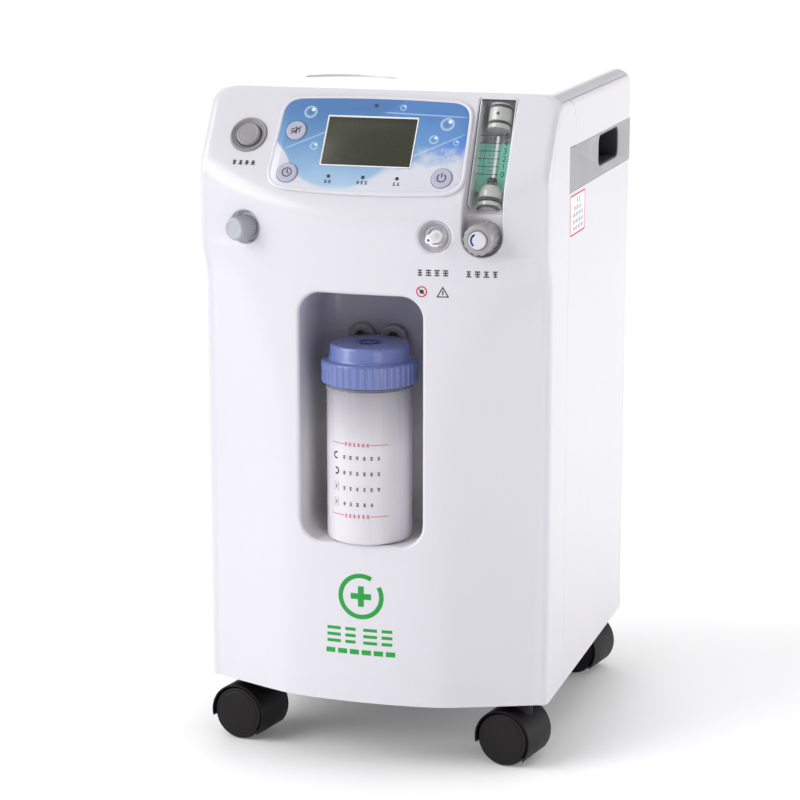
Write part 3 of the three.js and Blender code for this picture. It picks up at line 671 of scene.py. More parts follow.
def bodySolid(name, inset, bottom):
    top = bodyTop - inset
    heights = levels((bottom, 240, 14), (240, 470, 3.5), (470, 540, 2.5), (540, top - 14, 6),
                     (top - 14, top - 4, 1.4), (top - 4, top - 1, 0.6), (top - 1, top, 0.25))
    rows = [[(x, y, z) for x, y in bodyOutline(z, inset)] for z in heights]
    return loft(name, rows, wrap=True, capped=True, merge=0.001)


def seamOutline(grow):
    # the front cover's side seam in y and z: straight, a step over the band, then swept up to the top
    step = bandHigh.z + 0.3 + cabinet["seam"]
    start, end = Vector((seamUpperY, step + 8)), Vector((seamY + 1, seamTopZ))
    pull = Vector((seamUpperY, seamTopZ - 6))
    sweep = [start.lerp(pull, t).lerp(pull.lerp(end, t), t) for t in (i / 14 for i in range(15))]
    back = [(seamY + grow, 0), (seamY + grow, step - grow), (seamUpperY + grow, step - grow)]
    back += [(p.x + grow, p.y + grow * i / 14) for i, p in enumerate(sweep)]
    return [(-300, 0)] + back + [(coverLipY + grow, seamTopZ + grow), (coverLipY + grow, bodyTop + 10),
                                 (-300, bodyTop + 10)]


def boxSolid(name, x, y, z):
    return prism(name, box2(y[0], z[0], y[1], z[1]), x, "x")


def copied(obj, name):
    return addObject(name, obj.data.copy())


print("shells")
outer = bodySolid("outer_form", 0, bodyBottom)
inner = bodySolid("inner_form", cabinet["wall"], bodyBottom - 20)
shellForm = carve(copied(outer, "shell_form"), [inner])

bay = {
    "x": (-59, 54), "z": (205, 429), "corner": 20, "lip": 3.2, "backRound": 18.5, "floorRound": 5,
    "back": -88.2,
}
fittingZ = middle("flow_knob").z
channel = {"x": middle("flow_knob").x, "half": 17, "top": 594.6, "lip": 1.3, "floorY": -151, "fillet": 3}
outletDish = {"x": middle("outlet_socket").x, "radius": 13.8, "lip": 3, "depth": 9, "fillet": 5.8}
portDish = {"x": -112, "radius": 14.4, "lip": 2.2, "depth": 8, "fillet": 4}
meter = {
    "y": -108.5, "z": 594, "lean": 62.6, "width": 31.5, "length": 97, "depth": 24, "bore": 5.2,
    "fitting": 10.6, "topFitting": -24, "baseFitting": -75,
}
meterPlace = moved(channel["x"], meter["y"], meter["z"]) @ turned(meter["lean"], "X")


def channelFloor(x, z):
    # flat seat behind the flow knob, then the leaning back of the flowmeter above it
    back = meterPlace @ Vector((0, 0, -meter["depth"] - 2.3))
    lean = 1 / math.tan(math.radians(meter["lean"]))
    return mix(channel["floorY"], back.y - (back.z - z) * lean, smoothStep(z, 504, 512))


def channelOutline(grow):
    # round bottom under the knob, straight sides and small corners at the top
    half, low = channel["half"] + grow, fittingZ
    top = channel["top"] + grow
    left, right = channel["x"] - half, channel["x"] + half
    points = arc((channel["x"], low), half, 180, 360, 24)
    points += [(right, mix(low, top - 3, i / 12)) for i in range(1, 13)]
    points += arc((right - 3, top - 3), 3, 0, 90, 4)[1:]
    points += arc((left + 3, top - 3), 3, 90, 180, 4)
    points += [(left, mix(top - 3, low, i / 12)) for i in range(1, 12)]
    return points


def bayOutline(grow):
    x, z = bay["x"], bay["z"]
    corner = bay["corner"] + grow
    points = roundedBox((x[0] - grow, x[1] + grow), (z[0] - grow, z[1] + grow), corner, 12)
    return dense(points, 9)


def dense(points, step):
    # adds points along the straight stretches of a closed outline
    result = []
    for i, p in enumerate(points):
        a, b = Vector(p), Vector(points[(i + 1) % len(points)])
        count = max(1, round((b - a).length / step))
        result += [tuple(a.lerp(b, k / count)) for k in range(count)]
    return result


def dishOutline(dish, grow):
    return circle((dish["x"], fittingZ), dish["radius"] + grow, 48)


slopePlace = moved(0, cabinet["slopeTop"], bodyTop) @ Matrix.Rotation(slopeAngle, 4, "X")
overlayLow, overlayHigh = -103.3, -10.2
overlay = {"middle": -3.4, "half": 87, "corner": 17, "sag": 4.5}


def overlayOutline(grow):
    # arched top, smiling bottom, with large lower corners, in the slope's own flat frame
    half, radius, sag = overlay["half"] + grow, overlay["corner"] + grow, overlay["sag"]
    top, bottom = overlayHigh + grow, overlayLow - grow
    centre = overlay["middle"]
    left, right = centre - half, centre + half
    points = []

    def bend(start, pull, end, steps):
        a, b, c = Vector(start), Vector(pull), Vector(end)
        points.extend(tuple(a.lerp(b, i / steps).lerp(b.lerp(c, i / steps), i / steps)) for i in range(steps))
    lowLeft, lowRight = (left + radius, bottom + sag), (right - radius, bottom + sag)
    bend(lowLeft, (centre, bottom - sag + 3.6), lowRight, 24)
    bend(lowRight, (right, bottom + sag + 1.5), (right, bottom + radius + sag), 10)
    bend((right, bottom + radius + sag), (right - 1, (top + bottom) / 2), (right - 2, top - radius - 1), 6)
    bend((right - 2, top - radius - 1), (right - 2.5, top - 2), (right - radius - 2.5, top - 1.6), 10)
    bend((right - radius - 2.5, top - 1.6), (centre, top + 1.6), (left + radius + 2.5, top - 1.6), 24)
    bend((left + radius + 2.5, top - 1.6), (left + 2.5, top - 2), (left + 2, top - radius - 1), 10)
    bend((left + 2, top - radius - 1), (left + 1, (top + bottom) / 2), (left, bottom + radius + sag), 6)
    bend((left, bottom + radius + sag), (left, bottom + sag + 1.5), lowLeft, 10)
    return points


def slopeCutter(name, outline):
    rows = [[(u, v, level) for u, v in outline] for level in (-9, 9)]
    return moveMesh(loft(name, rows, wrap=True, capped=True, merge=0.0001), slopePlace)


monitorMiddle = slopePlace.inverted() @ middle("monitor_port_ring")
frontCover = carve(copied(shellForm, "front_cover_shell"),
                   [prism("region", seamOutline(0), (-200, 200), "x")], "INTERSECT")
ahead = shellLow.y - 60
carve(frontCover, [
    prism("cut", bayOutline(bay["lip"]), (ahead, bay["back"]), "y"),
    prism("cut", channelOutline(channel["lip"]), (ahead, -60), "y"),
    prism("cut", dishOutline(outletDish, outletDish["lip"]), (ahead, -140), "y"),
    prism("cut", dishOutline(portDish, portDish["lip"]), (ahead, -140), "y"),
    slopeCutter("cut", overlayOutline(-1)),
    slopeCutter("cut", circle((monitorMiddle.x, monitorMiddle.y), 17, 56)),
])
finishMesh(frontCover, cabinetWhite, 30)
keep(frontCover, "cabinet", "shell", "front_cover")


def frontAt(u, v, level):
    return (u, level, v)


bayLiner = throat("bay_liner", bayOutline(0), lambda u, v: frontSkin(u, v) + 0.03,
                  lambda u, v: bay["back"], None, frontAt, bay["lip"],
                  lambda nx, nz: mix(bay["floorRound"], bay["backRound"], abs(nx) ** 2), 1, bayPaintedShade)
portMiddles = [middle("bay_port_left"), middle("bay_port_right")]
facingFront = turned(90, "X")  # local +Z to -Y
carve(bayLiner, [drill(7.2, -12, 12, moved(p.x, bay["back"], p.z) @ facingFront, 40) for p in portMiddles])
finishMesh(bayLiner, bayPaintedShade, 40)
keep(bayLiner, "cabinet", "bay", "bottle_bay")

channelLiner = throat("channel_liner", channelOutline(0), lambda u, v: frontSkin(u, v) + 0.03, channelFloor,
                      lambda u, v: (channel["x"], clamp(v, fittingZ, channel["top"] - 14)), frontAt,
                      channel["lip"], lambda nx, nz: channel["fillet"], 1, cabinetWhite)
keep(channelLiner, "cabinet", "shell")
for name, dish in (("outlet_dish", outletDish), ("port_dish", portDish)):
    centre = (dish["x"], fittingZ)
    bottom = frontSkin(*centre) + dish["depth"]
    liner = throat(name, dishOutline(dish, 0), lambda u, v: frontSkin(u, v) + 0.03, lambda u, v: bottom,
                   None, frontAt, dish["lip"], lambda nx, nz: dish["fillet"], 1, cabinetWhite)
    keep(liner, "cabinet", "shell")

print("side panels, back and top")
panelSpan = (seamY, backSeamY - cabinet["seam"])
gripY, gripZ = (43.5, 126.5), (521, 547)
grip = {"corner": 7, "lip": 1.6, "depth": 34}


def gripOutline(grow):
    return dense(roundedBox((gripY[0] - grow, gripY[1] + grow), (gripZ[0] - grow, gripZ[1] + grow),
                            grip["corner"] + grow, 8), 8)


def mirrored(obj, name):
    result = copied(obj, name)
    result.data.transform(Matrix.Scale(-1, 4, (1, 0, 0)))
    result.data.flip_normals()
    return result


bandSpan = (bandLow.z - 0.3, bandHigh.z + 0.3)
sideShell = carve(copied(shellForm, "side_shell_right"), [
    boxSolid("region", (1, 200), panelSpan, (0, seamTopZ))], "INTERSECT")
carve(sideShell, [prism("cut", seamOutline(cabinet["seam"]), (-200, 200), "x"),
                  boxSolid("cut", (halfWidth - 1.7, 200), (panelSpan[0] - 1, panelSpan[1] + 1), bandSpan),
                  prism("cut", gripOutline(grip["lip"] + 0.4), (100, 200), "x")])
finishMesh(sideShell, cabinetWhite, 30)
keep(sideShell, "cabinet", "shell", "side_panel_right")
keep(mirrored(sideShell, "side_shell_left"), "cabinet", "shell", "side_panel_left")

bandRight = prism("grip_band_right", box2(bandLow.y, bandLow.z, bandHigh.y, bandHigh.z),
                  (halfWidth - 1.3, halfWidth), "x")
carve(bandRight, [prism("cut", gripOutline(grip["lip"]), (100, 200), "x")])
finishMesh(softEdges(bandRight, 0.25), bandGrey, 30)
keep(bandRight, "cabinet", "band", "handle_band_right")
keep(mirrored(bandRight, "grip_band_left"), "cabinet", "band", "handle_band_left")

pocket = throat("grip_hollow_right", gripOutline(0), lambda u, v: halfWidth - 0.03,
                lambda u, v: halfWidth - grip["depth"],
                lambda u, v: (clamp(u, gripY[0] + 13, gripY[1] - 13), (gripZ[0] + gripZ[1]) / 2),
                lambda u, v, level: (level, u, v), grip["lip"], lambda ny, nz: 4, -1, gripCharcoal)
keep(pocket, "cabinet", "charcoal", "handle_pocket_right")
keep(mirrored(pocket, "grip_hollow_left"), "cabinet", "charcoal", "handle_pocket_left")

fanLow, fanHigh = nodeBox("fan_shroud")
fanMiddle = (fanLow + fanHigh) / 2
doorLow, doorHigh = nodeBox("filter_door")
inletLow, inletHigh = nodeBox("power_inlet")
vent = {"rows": 9, "pitch": 12, "radius": 55, "slot": 6}


def slotCut(x, z, height, span):
    # round-ended slot through a wall that faces back
    return prism("cut", roundedBox(x, (z - height / 2, z + height / 2), height / 2 - 0.01, 6), span, "y")


backShell = carve(copied(shellForm, "back_shell"), [
    boxSolid("region", (-200, 200), (backSeamY, 300), (0, seamTopZ))], "INTERSECT")
cuts = []
for row in range(vent["rows"]):
    drop = (row - (vent["rows"] - 1) / 2) * vent["pitch"]
    half = math.sqrt(vent["radius"] ** 2 - drop ** 2)
    z = fanMiddle.z + drop
    cuts.append(slotCut((fanMiddle.x - half, fanMiddle.x + half), z, vent["slot"], (backSeamY - 4, 200)))
gapSize = cabinet["seam"]
for low, high in ((doorLow, doorHigh), (inletLow, inletHigh)):
    cuts.append(boxSolid("cut", (low.x - gapSize, high.x + gapSize), (180, 200),
                         (low.z - gapSize, high.z + gapSize)))
carve(backShell, cuts)
finishMesh(backShell, cabinetWhite, 30)
keep(backShell, "cabinet", "shell", "back_panel")

topShell = carve(copied(shellForm, "top_shell"), [
    boxSolid("region", (-200, 200), (coverLipY + gapSize, 300), (seamTopZ + gapSize, 700))], "INTERSECT")
recess = {"middle": (-64, -2), "half": (44, 27), "deep": 1.4, "slant": 0.8}
floorShare = 1 - recess["slant"] / 35  # size of the floor against the mouth
oval = moved(*recess["middle"], bodyTop) @ Matrix.Diagonal((*recess["half"], 1, 1))
dip = [(0, -recess["deep"]), (floorShare, -recess["deep"]), (1, 0), (1, 2), (0, 2)]
carve(topShell, [lathe("cut", dip, oval)])
finishMesh(topShell, cabinetWhite, 30)
keep(topShell, "cabinet", "shell", "top_cover")
bpy.data.objects.remove(shellForm)
bpy.data.objects.remove(outer)


def makeTree(name, sockets):
    tree = bpy.data.node_groups.new(name, "GeometryNodeTree")
    tree.interface.new_socket("Geometry", in_out="OUTPUT", socket_type="NodeSocketGeometry")
    for label, kind, value in sockets:
        socket = tree.interface.new_socket(label, in_out="INPUT", socket_type="NodeSocket" + kind)
        if value is not None:
            socket.default_value = value
    return tree, node(tree, "NodeGroupInput").outputs


def finishTree(tree, geometry, finish):
    real = node(tree, "GeometryNodeRealizeInstances", {"Geometry": geometry}).outputs["Geometry"]
    smooth = node(tree, "GeometryNodeSetShadeSmooth", {
        "Geometry": real, "Shade Smooth": True}).outputs["Geometry"]
    coloured = node(tree, "GeometryNodeSetMaterial", {
        "Geometry": smooth, "Material": finish}).outputs["Geometry"]
    node(tree, "NodeGroupOutput", {"Geometry": coloured})
    return tree


def ringTree():
    # upright rounded ribs set evenly round a circle about Z
    tree, given = makeTree("ribs_round_a_ring", [
        ("Count", "Int", 24), ("Ring Radius", "Float", 0.04), ("Rib Width", "Float", 0.002),
        ("Rib Depth", "Float", 0.001), ("Rib Height", "Float", 0.02), ("Finish", "Material", None)])
    line = node(tree, "GeometryNodeMeshLine", {"Count": given["Count"], "Offset": (0, 0, 0)}).outputs["Mesh"]
    index = node(tree, "GeometryNodeInputIndex").outputs["Index"]
    part = math2(tree, "DIVIDE", index, given["Count"])
    angle = times(tree, part, 2 * math.pi)
    x = times(tree, math2(tree, "COSINE", angle), given["Ring Radius"])
    y = times(tree, math2(tree, "SINE", angle), given["Ring Radius"])
    spots = node(tree, "GeometryNodeSetPosition", {
        "Geometry": line, "Position": node(tree, "ShaderNodeCombineXYZ", {"X": x, "Y": y}).outputs["Vector"]})
    rib = node(tree, "GeometryNodeMeshCylinder", {
        "Vertices": 12, "Radius": 0.5, "Depth": given["Rib Height"]})
    size = node(tree, "ShaderNodeCombineXYZ", {"X": given["Rib Depth"], "Y": given["Rib Width"], "Z": 1.0})
    shaped = node(tree, "GeometryNodeTransform", {
        "Geometry": rib.outputs["Mesh"], "Scale": size.outputs["Vector"]})
    turn = node(tree, "ShaderNodeCombineXYZ", {"Z": angle}).outputs["Vector"]
    ribs = node(tree, "GeometryNodeInstanceOnPoints", {
        "Points": spots.outputs["Geometry"], "Instance": shaped.outputs["Geometry"], "Rotation": turn})
    return finishTree(tree, ribs.outputs["Instances"], given["Finish"])


def barTree():
    # parallel bars along X, stepped up Z, with an oval section
    tree, given = makeTree("bars_in_a_row", [
        ("Count", "Int", 6), ("Pitch", "Float", 0.01), ("Length", "Float", 0.05), ("Height", "Float", 0.004),
        ("Depth", "Float", 0.003), ("Finish", "Material", None)])
    rise = times(tree, math2(tree, "SUBTRACT", given["Count"], 1.0), given["Pitch"])
    start = node(tree, "ShaderNodeCombineXYZ", {"Z": times(tree, rise, -0.5)}).outputs["Vector"]
    step = node(tree, "ShaderNodeCombineXYZ", {"Z": given["Pitch"]}).outputs["Vector"]
    line = node(tree, "GeometryNodeMeshLine", {
        "Count": given["Count"], "Start Location": start, "Offset": step})
    bar = node(tree, "GeometryNodeMeshCylinder", {"Vertices": 16, "Radius": 0.5, "Depth": given["Length"]})
    size = node(tree, "ShaderNodeCombineXYZ", {"X": given["Height"], "Y": given["Depth"], "Z": 1.0})
    shaped = node(tree, "GeometryNodeTransform", {
        "Geometry": bar.outputs["Mesh"], "Scale": size.outputs["Vector"]})
    lying = node(tree, "GeometryNodeTransform", {
        "Geometry": shaped.outputs["Geometry"], "Rotation": (0, math.pi / 2, 0)})
    bars = node(tree, "GeometryNodeInstanceOnPoints", {
        "Points": line.outputs["Mesh"], "Instance": lying.outputs["Geometry"]})
    return finishTree(tree, bars.outputs["Instances"], given["Finish"])


def coilTree():
    tree, given = makeTree("wound_pipe", [
        ("Turns", "Float", 3.0), ("Coil Radius", "Float", 0.044), ("Coil Length", "Float", 0.026),
        ("Pipe Radius", "Float", 0.004), ("Finish", "Material", None)])
    path = node(tree, "GeometryNodeCurveSpiral", {
        "Resolution": 40, "Rotations": given["Turns"], "Start Radius": given["Coil Radius"],
        "End Radius": given["Coil Radius"], "Height": given["Coil Length"]}).outputs["Curve"]
    section = node(tree, "GeometryNodeCurvePrimitiveCircle", {
        "Resolution": 16, "Radius": given["Pipe Radius"]}).outputs["Curve"]
    pipe = node(tree, "GeometryNodeCurveToMesh", {"Curve": path, "Profile Curve": section, "Fill Caps": True})
    return finishTree(tree, pipe.outputs["Mesh"], given["Finish"])


def screwTree():
    # countersunk heads with a slot, on a flat grid
    tree, given = makeTree("screw_heads", [
        ("Columns", "Int", 2), ("Rows", "Int", 2), ("Across", "Float", 0.2), ("Up", "Float", 0.4),
        ("Head Radius", "Float", 0.004), ("Head Height", "Float", 0.0012), ("Finish", "Material", None)])
    grid = node(tree, "GeometryNodeMeshGrid", {
        "Size X": given["Across"], "Size Y": given["Up"], "Vertices X": given["Columns"],
        "Vertices Y": given["Rows"]}).outputs["Mesh"]
    head = node(tree, "GeometryNodeMeshCone", {
        "Vertices": 24, "Radius Top": times(tree, given["Head Radius"], 0.82),
        "Radius Bottom": given["Head Radius"], "Depth": given["Head Height"]}).outputs["Mesh"]
    slot = node(tree, "ShaderNodeCombineXYZ", {
        "X": times(tree, given["Head Radius"], 1.4),
        "Y": times(tree, given["Head Radius"], 0.26), "Z": given["Head Height"]}).outputs["Vector"]
    bar = node(tree, "GeometryNodeMeshCube", {"Size": slot}).outputs["Mesh"]
    lift = node(tree, "ShaderNodeCombineXYZ", {"Z": given["Head Height"]}).outputs["Vector"]
    raisedBar = node(tree, "GeometryNodeTransform", {
        "Geometry": bar, "Translation": lift}).outputs["Geometry"]
    cross = node(tree, "GeometryNodeTransform", {"Geometry": raisedBar, "Rotation": (0, 0, math.pi / 2)})
    cut = node(tree, "GeometryNodeMeshBoolean", {"Mesh 1": head}, operation="DIFFERENCE")
    tree.links.new(raisedBar, cut.inputs["Mesh 2"])
    tree.links.new(cross.outputs["Geometry"], cut.inputs["Mesh 2"])
    heads = node(tree, "GeometryNodeInstanceOnPoints", {"Points": grid, "Instance": cut.outputs["Mesh"]})
    return finishTree(tree, heads.outputs["Instances"], given["Finish"])


def grown(name, tree, where, finish, sharpAngle=40, **values):
    # runs a tree on an empty mesh, keeps the result as a plain mesh in its place
    obj = addObject(name, bpy.data.meshes.new(name))
    modifier = obj.modifiers.new("grow", "NODES")
    modifier.node_group = tree
    for item in tree.interface.items_tree:
        if item.item_type == "SOCKET" and item.in_out == "INPUT":
            key = item.name.replace(" ", "")
            key = key[0].lower() + key[1:]
            if item.name == "Finish":
                modifier[item.identifier] = finish
            elif item.socket_type == "NodeSocketInt":
                modifier[item.identifier] = values[key]
            elif item.name in ("Turns",):
                modifier[item.identifier] = values[key]
            else:
                modifier[item.identifier] = values[key] * mm
    bake(obj)
    moveMesh(obj, where)
    obj.data.shade_smooth()
    obj.data.set_sharp_from_angle(angle=math.radians(sharpAngle))
    return obj


ribsRound, barsInRow, woundPipe, screwHeads = ringTree(), barTree(), coilTree(), screwTree()

print("bottle")
bottle = {
    "axis": (-3, -143.5), "floor": 205.3, "radius": 38.2, "capRadius": 36.4, "wall": 1.9, "neck": 33.4,
    "neckTop": 362, "collar": (346.4, 367), "collarRadius": 42.2, "top": 381.5, "ribs": 40, "ribDepth": 1.8,
    "ribWidth": 4.2, "fullLine": 296.5, "lowLine": 231.8,
}
bottleAxis = moved(*bottle["axis"], 0)
jarRadius, neckRadius, jarFloor, wall = (bottle[part] for part in ("radius", "neck", "floor", "wall"))
capRadius, collarRadius, lidTop = (bottle[part] for part in ("capRadius", "collarRadius", "top"))
collarLow, collarHigh = bottle["collar"]


def milky(name):
    # blown cloudy bottle: smooth body with faint upright flow marks, and painted shade darkening the upper
    # part under the bay's ceiling and the lid
    material, tree, shader = startMaterial(name, Coat_Weight=0.35, Coat_Roughness=0.12)
    spot = place(tree)
    stretched = node(tree, "ShaderNodeMapping", {"Vector": spot, "Scale": (45, 45, 3)}).outputs["Vector"]
    flow = node(tree, "ShaderNodeTexNoise", {"Vector": stretched, "Scale": 1.0, "Detail": 3.0}).outputs["Fac"]
    tone = remap(tree, flow, 0.3, 0.7, 0.0, 1.0)
    body = blendColour(tree, tone, shade("d6d3da"), shade("cac7ce"))
    # painted shade: the jar turns grey towards its top, under the bay's ceiling and the lid
    shadedTop = remap(tree, alongAxis(tree, spot, "Z"), 0.29, 0.345, 0.0, 1.0)
    tree.links.new(blendColour(tree, shadedTop, body, shade("918e97")), shader.inputs["Base Color"])
    tree.links.new(remap(tree, flow, 0.3, 0.7, 0.24, 0.3), shader.inputs["Roughness"])
    return material


jarMilkyShaded = milky("jar_milky")
jarOutside = rounded([(0, jarFloor), (jarRadius, jarFloor), (jarRadius, collarLow - 4),
                      (jarRadius - 0.6, collarLow - 0.9), (neckRadius, collarLow - 0.9),
                      (neckRadius, bottle["neckTop"])], 4)
bead = [(jarRadius, collarLow - 5.4), (jarRadius + 0.7, collarLow - 4.6),
        (jarRadius + 0.7, collarLow - 3.2), (jarRadius, collarLow - 2.4)]
jarInside = rounded([(neckRadius - wall, bottle["neckTop"]), (neckRadius - wall, collarLow - 4),
                     (jarRadius - wall, collarLow - 8), (jarRadius - wall, jarFloor + 2.4),
                     (0, jarFloor + 2.4)], 4)
jarSkin = [p for p in jarOutside if p[1] < bead[0][1]] + bead + [p for p in jarOutside if p[1] > bead[-1][1]]
jar = lathe("jar_wall", jarSkin + jarInside, bottleAxis, jarMilkyShaded, steps=96, sharpAngle=40)
keep(jar, "bottle", "milky", "bottle_jar")

lidProfile = [(0, lidTop - 0.4), (12, lidTop - 0.4), (13, lidTop), (capRadius - 1.6, lidTop),
              (capRadius, collarHigh + 0.6), (collarRadius, collarHigh),
              (collarRadius, collarLow), (neckRadius + 0.8, collarLow)]
lidUnder = [(neckRadius + 0.8, lidTop - 3.4), (0, lidTop - 3.4)]
lid = lathe("lid_cap", rounded(lidProfile, 2.2, 5) + lidUnder, bottleAxis, lidBlue, steps=96, sharpAngle=50)
keep(lid, "lid", "blue", "bottle_lid")
lidRibs = grown("lid_ribs", ribsRound, bottleAxis @ moved(0, 0, (collarLow + collarHigh) / 2), lidBlue,
                count=bottle["ribs"], ringRadius=collarRadius - 0.1, ribWidth=bottle["ribWidth"],
                ribDepth=bottle["ribDepth"], ribHeight=collarHigh - collarLow - 2.6)
keep(lidRibs, "lid", "blue")


def onLidTop(u, v, height):
    return (bottle["axis"][0] + u, bottle["axis"][1] + v, lidTop + height)


turnMark = printed("lid_turn_mark", onLidTop, inkNavy, [(arc((0, 0), 8.5, 110, 240, 20), 1.8, False),
                                                        (arc((0, 0), 8.5, -70, 60, 20), 1.8, False)],
                   [[(-2.2, -10.6), (-2.2, -4.2), (2.6, -7.4)], [(2.2, 10.6), (2.2, 4.2), (-2.6, 7.4)]],
                   lift=0.3)
keep(turnMark, "lid", "blue")


def onJar(u, v, height):
    # u runs round the jar in millimetres from its front line
    radius = jarRadius + height
    angle = u / jarRadius - math.pi / 2
    return (bottle["axis"][0] + radius * math.cos(angle), bottle["axis"][1] + radius * math.sin(angle), v)


def curved(u0, u1, v, steps=10):
    return [(mix(u0, u1, i / steps), v) for i in range(steps + 1)]


levelStrips = []
for level in (bottle["fullLine"], bottle["lowLine"]):
    levelStrips += [(curved(-28, -13, level), 0.6, False), (curved(12, 28, level), 0.6, False)]
    levelStrips += strokeLine((-0.5, level), 6, 3.2, 4.1, round(level))
keep(printed("jar_level_lines", onJar, inkRed, levelStrips, lift=0.08), "bottle", "milky")
noteStrips, noteFills = [], []
noteGap = (bottle["fullLine"] - bottle["lowLine"]) / 4.6
for row in range(4):
    z = bottle["fullLine"] - noteGap * (row + 0.85)
    noteStrips += strokeLine((3.4 - (3 if row == 3 else 0), z), 6 if row < 3 else 5, 3.3, 6.4, row + 5)
    symbol = (-22, z + 0.6)
    if row < 2:
        start = 60 if row == 0 else -120
        noteStrips.append((arc(symbol, 2.7, start, start + 240, 14), 1.5, False))
    else:
        frameBox = box2(symbol[0] - 2.3, symbol[1] - 3.8, symbol[0] + 2.3, symbol[1] + 3.8)
        noteStrips.append((frameBox, 0.3, True))
        noteFills.append(box2(symbol[0] - 0.5, symbol[1] - 1.9, symbol[0] + 0.5, symbol[1] + 1.8))
keep(printed("jar_notes", onJar, inkBlack, noteStrips, noteFills, lift=0.08), "bottle", "milky")

bubblerLow, bubblerHigh = nodeBox("bubbler_tube")
stone = bubblerLow.z + 14
bubbler = lathe("bubbler_stem", rounded([
    (0, bubblerLow.z), (7.6, bubblerLow.z), (7.6, stone - 2), (3.4, stone + 1), (3.4, bubblerHigh.z),
    (0, bubblerHigh.z)], 1.2), bottleAxis, portGrey, 40)
keep(bubbler, "lid", "milky", "bubbler_tube")

for side, p in zip(("left", "right"), portMiddles):
    low, high = nodeBox("bay_port_" + side)
    radius = (high.x - low.x) / 2
    where = moved(p.x, bay["back"], p.z) @ facingFront
    bushing = lathe("port_bushing_" + side, rounded([
        (0, -4), (5.6, -4), (5.6, 7), (7.4, 7.9), (radius - 1.5, 7.9), (radius, 6), (radius, 0.3), (6.9, 0.3),
        (6.9, -9), (0, -9)], 0.9), where, portGrey, 48)
    grooveIn, grooveOut = radius - 4.2, radius - 3.4
    carve(bushing, [lathe("groove", [(grooveIn, 7.1), (grooveOut, 7.1), (grooveOut, 9), (grooveIn, 9),
                                     (grooveIn, 7.1)], where, steps=48)])
    finishMesh(bushing, portGrey, 35)
    keep(bushing, "cabinet", "grey", "bay_port_" + side)

print("control panel")
displayLow, displayHigh = (-46.4, -76.79), (36.4, -27.54)
lamps = {"x": (-36.1, -4.8, 26.1), "z": 528, "radius": 1.85, "sensor": (-4.5, 586)}
keySpots = {"mute": (-73.4, 563.6), "timer": (-74.3, 529.4), "power": (65.9, 529.6)}
keyRadius = 9.25


def slopeLevel(z):
    return (z - bodyTop) / slopeSin


def onPanel(x, z):
    return moved(x, slopeLevel(z), 0)


def displayOutline(grow, radius, steps):
    return roundedBox((displayLow[0] - grow, displayHigh[0] + grow),
                      (displayLow[1] - grow, displayHigh[1] + grow), radius, steps)


def onSlope(lift=0.0):
    def wrap(u, v, height):
        return slopePlace @ Vector((u, v, lift + height))
    return wrap


def band(name, outlineOut, outlineIn, profile, where, material):
    # closed ring between two outlines with equal counts, profile gives (part across, level)
    rows = []
    for part, level in profile:
        rows.append([(mix(a[0], c[0], part), mix(a[1], c[1], part), level)
                     for a, c in zip(outlineOut, outlineIn)])
    rows.append(rows[0])
    obj = loft(name, rows, wrap=True, merge=0.001)
    moveMesh(obj, where)
    return finishMesh(obj, material, 40, merge=0.001)


rimProfile = [(0.02, 0.1), (0, 0.9), (0.06, 1.6), (0.2, 2.0), (0.4, 2.1), (0.6, 2.0), (0.78, 1.7),
              (0.86, 1.2), (0.88, 0.5), (0.9, -2.4), (0.12, -2.4)]
rim = band("panel_rim", overlayOutline(3), overlayOutline(-1.2), rimProfile, slopePlace, cabinetWhite)
backing = plate("panel_backing", overlayOutline(-1.4), -2.6, 0.5, slopePlace, cabinetWhite, 0.2)
holes = [drill(keyRadius + 0.4, -12, 12, slopePlace @ onPanel(x, z), 40) for x, z in keySpots.values()]
window = displayOutline(0.4, 0.6, 3)
holes.append(slopeCutter("hole", window))
carve(backing, holes)
finishMesh(backing, cabinetWhite, 35)
panelRim = joined("panel_rim_and_backing", [rim, backing])
finishMesh(panelRim, cabinetWhite, 35, merge=0.0005)
keep(panelRim, "cabinet", "shell", "control_bezel")

bubbles = [(0.155, 0.84, 0.034), (0.637, 0.915, 0.017), (0.88, 0.755, 0.036), (0.823, 0.59, 0.024),
           (0.94, 0.565, 0.015), (0.205, 0.48, 0.021)]


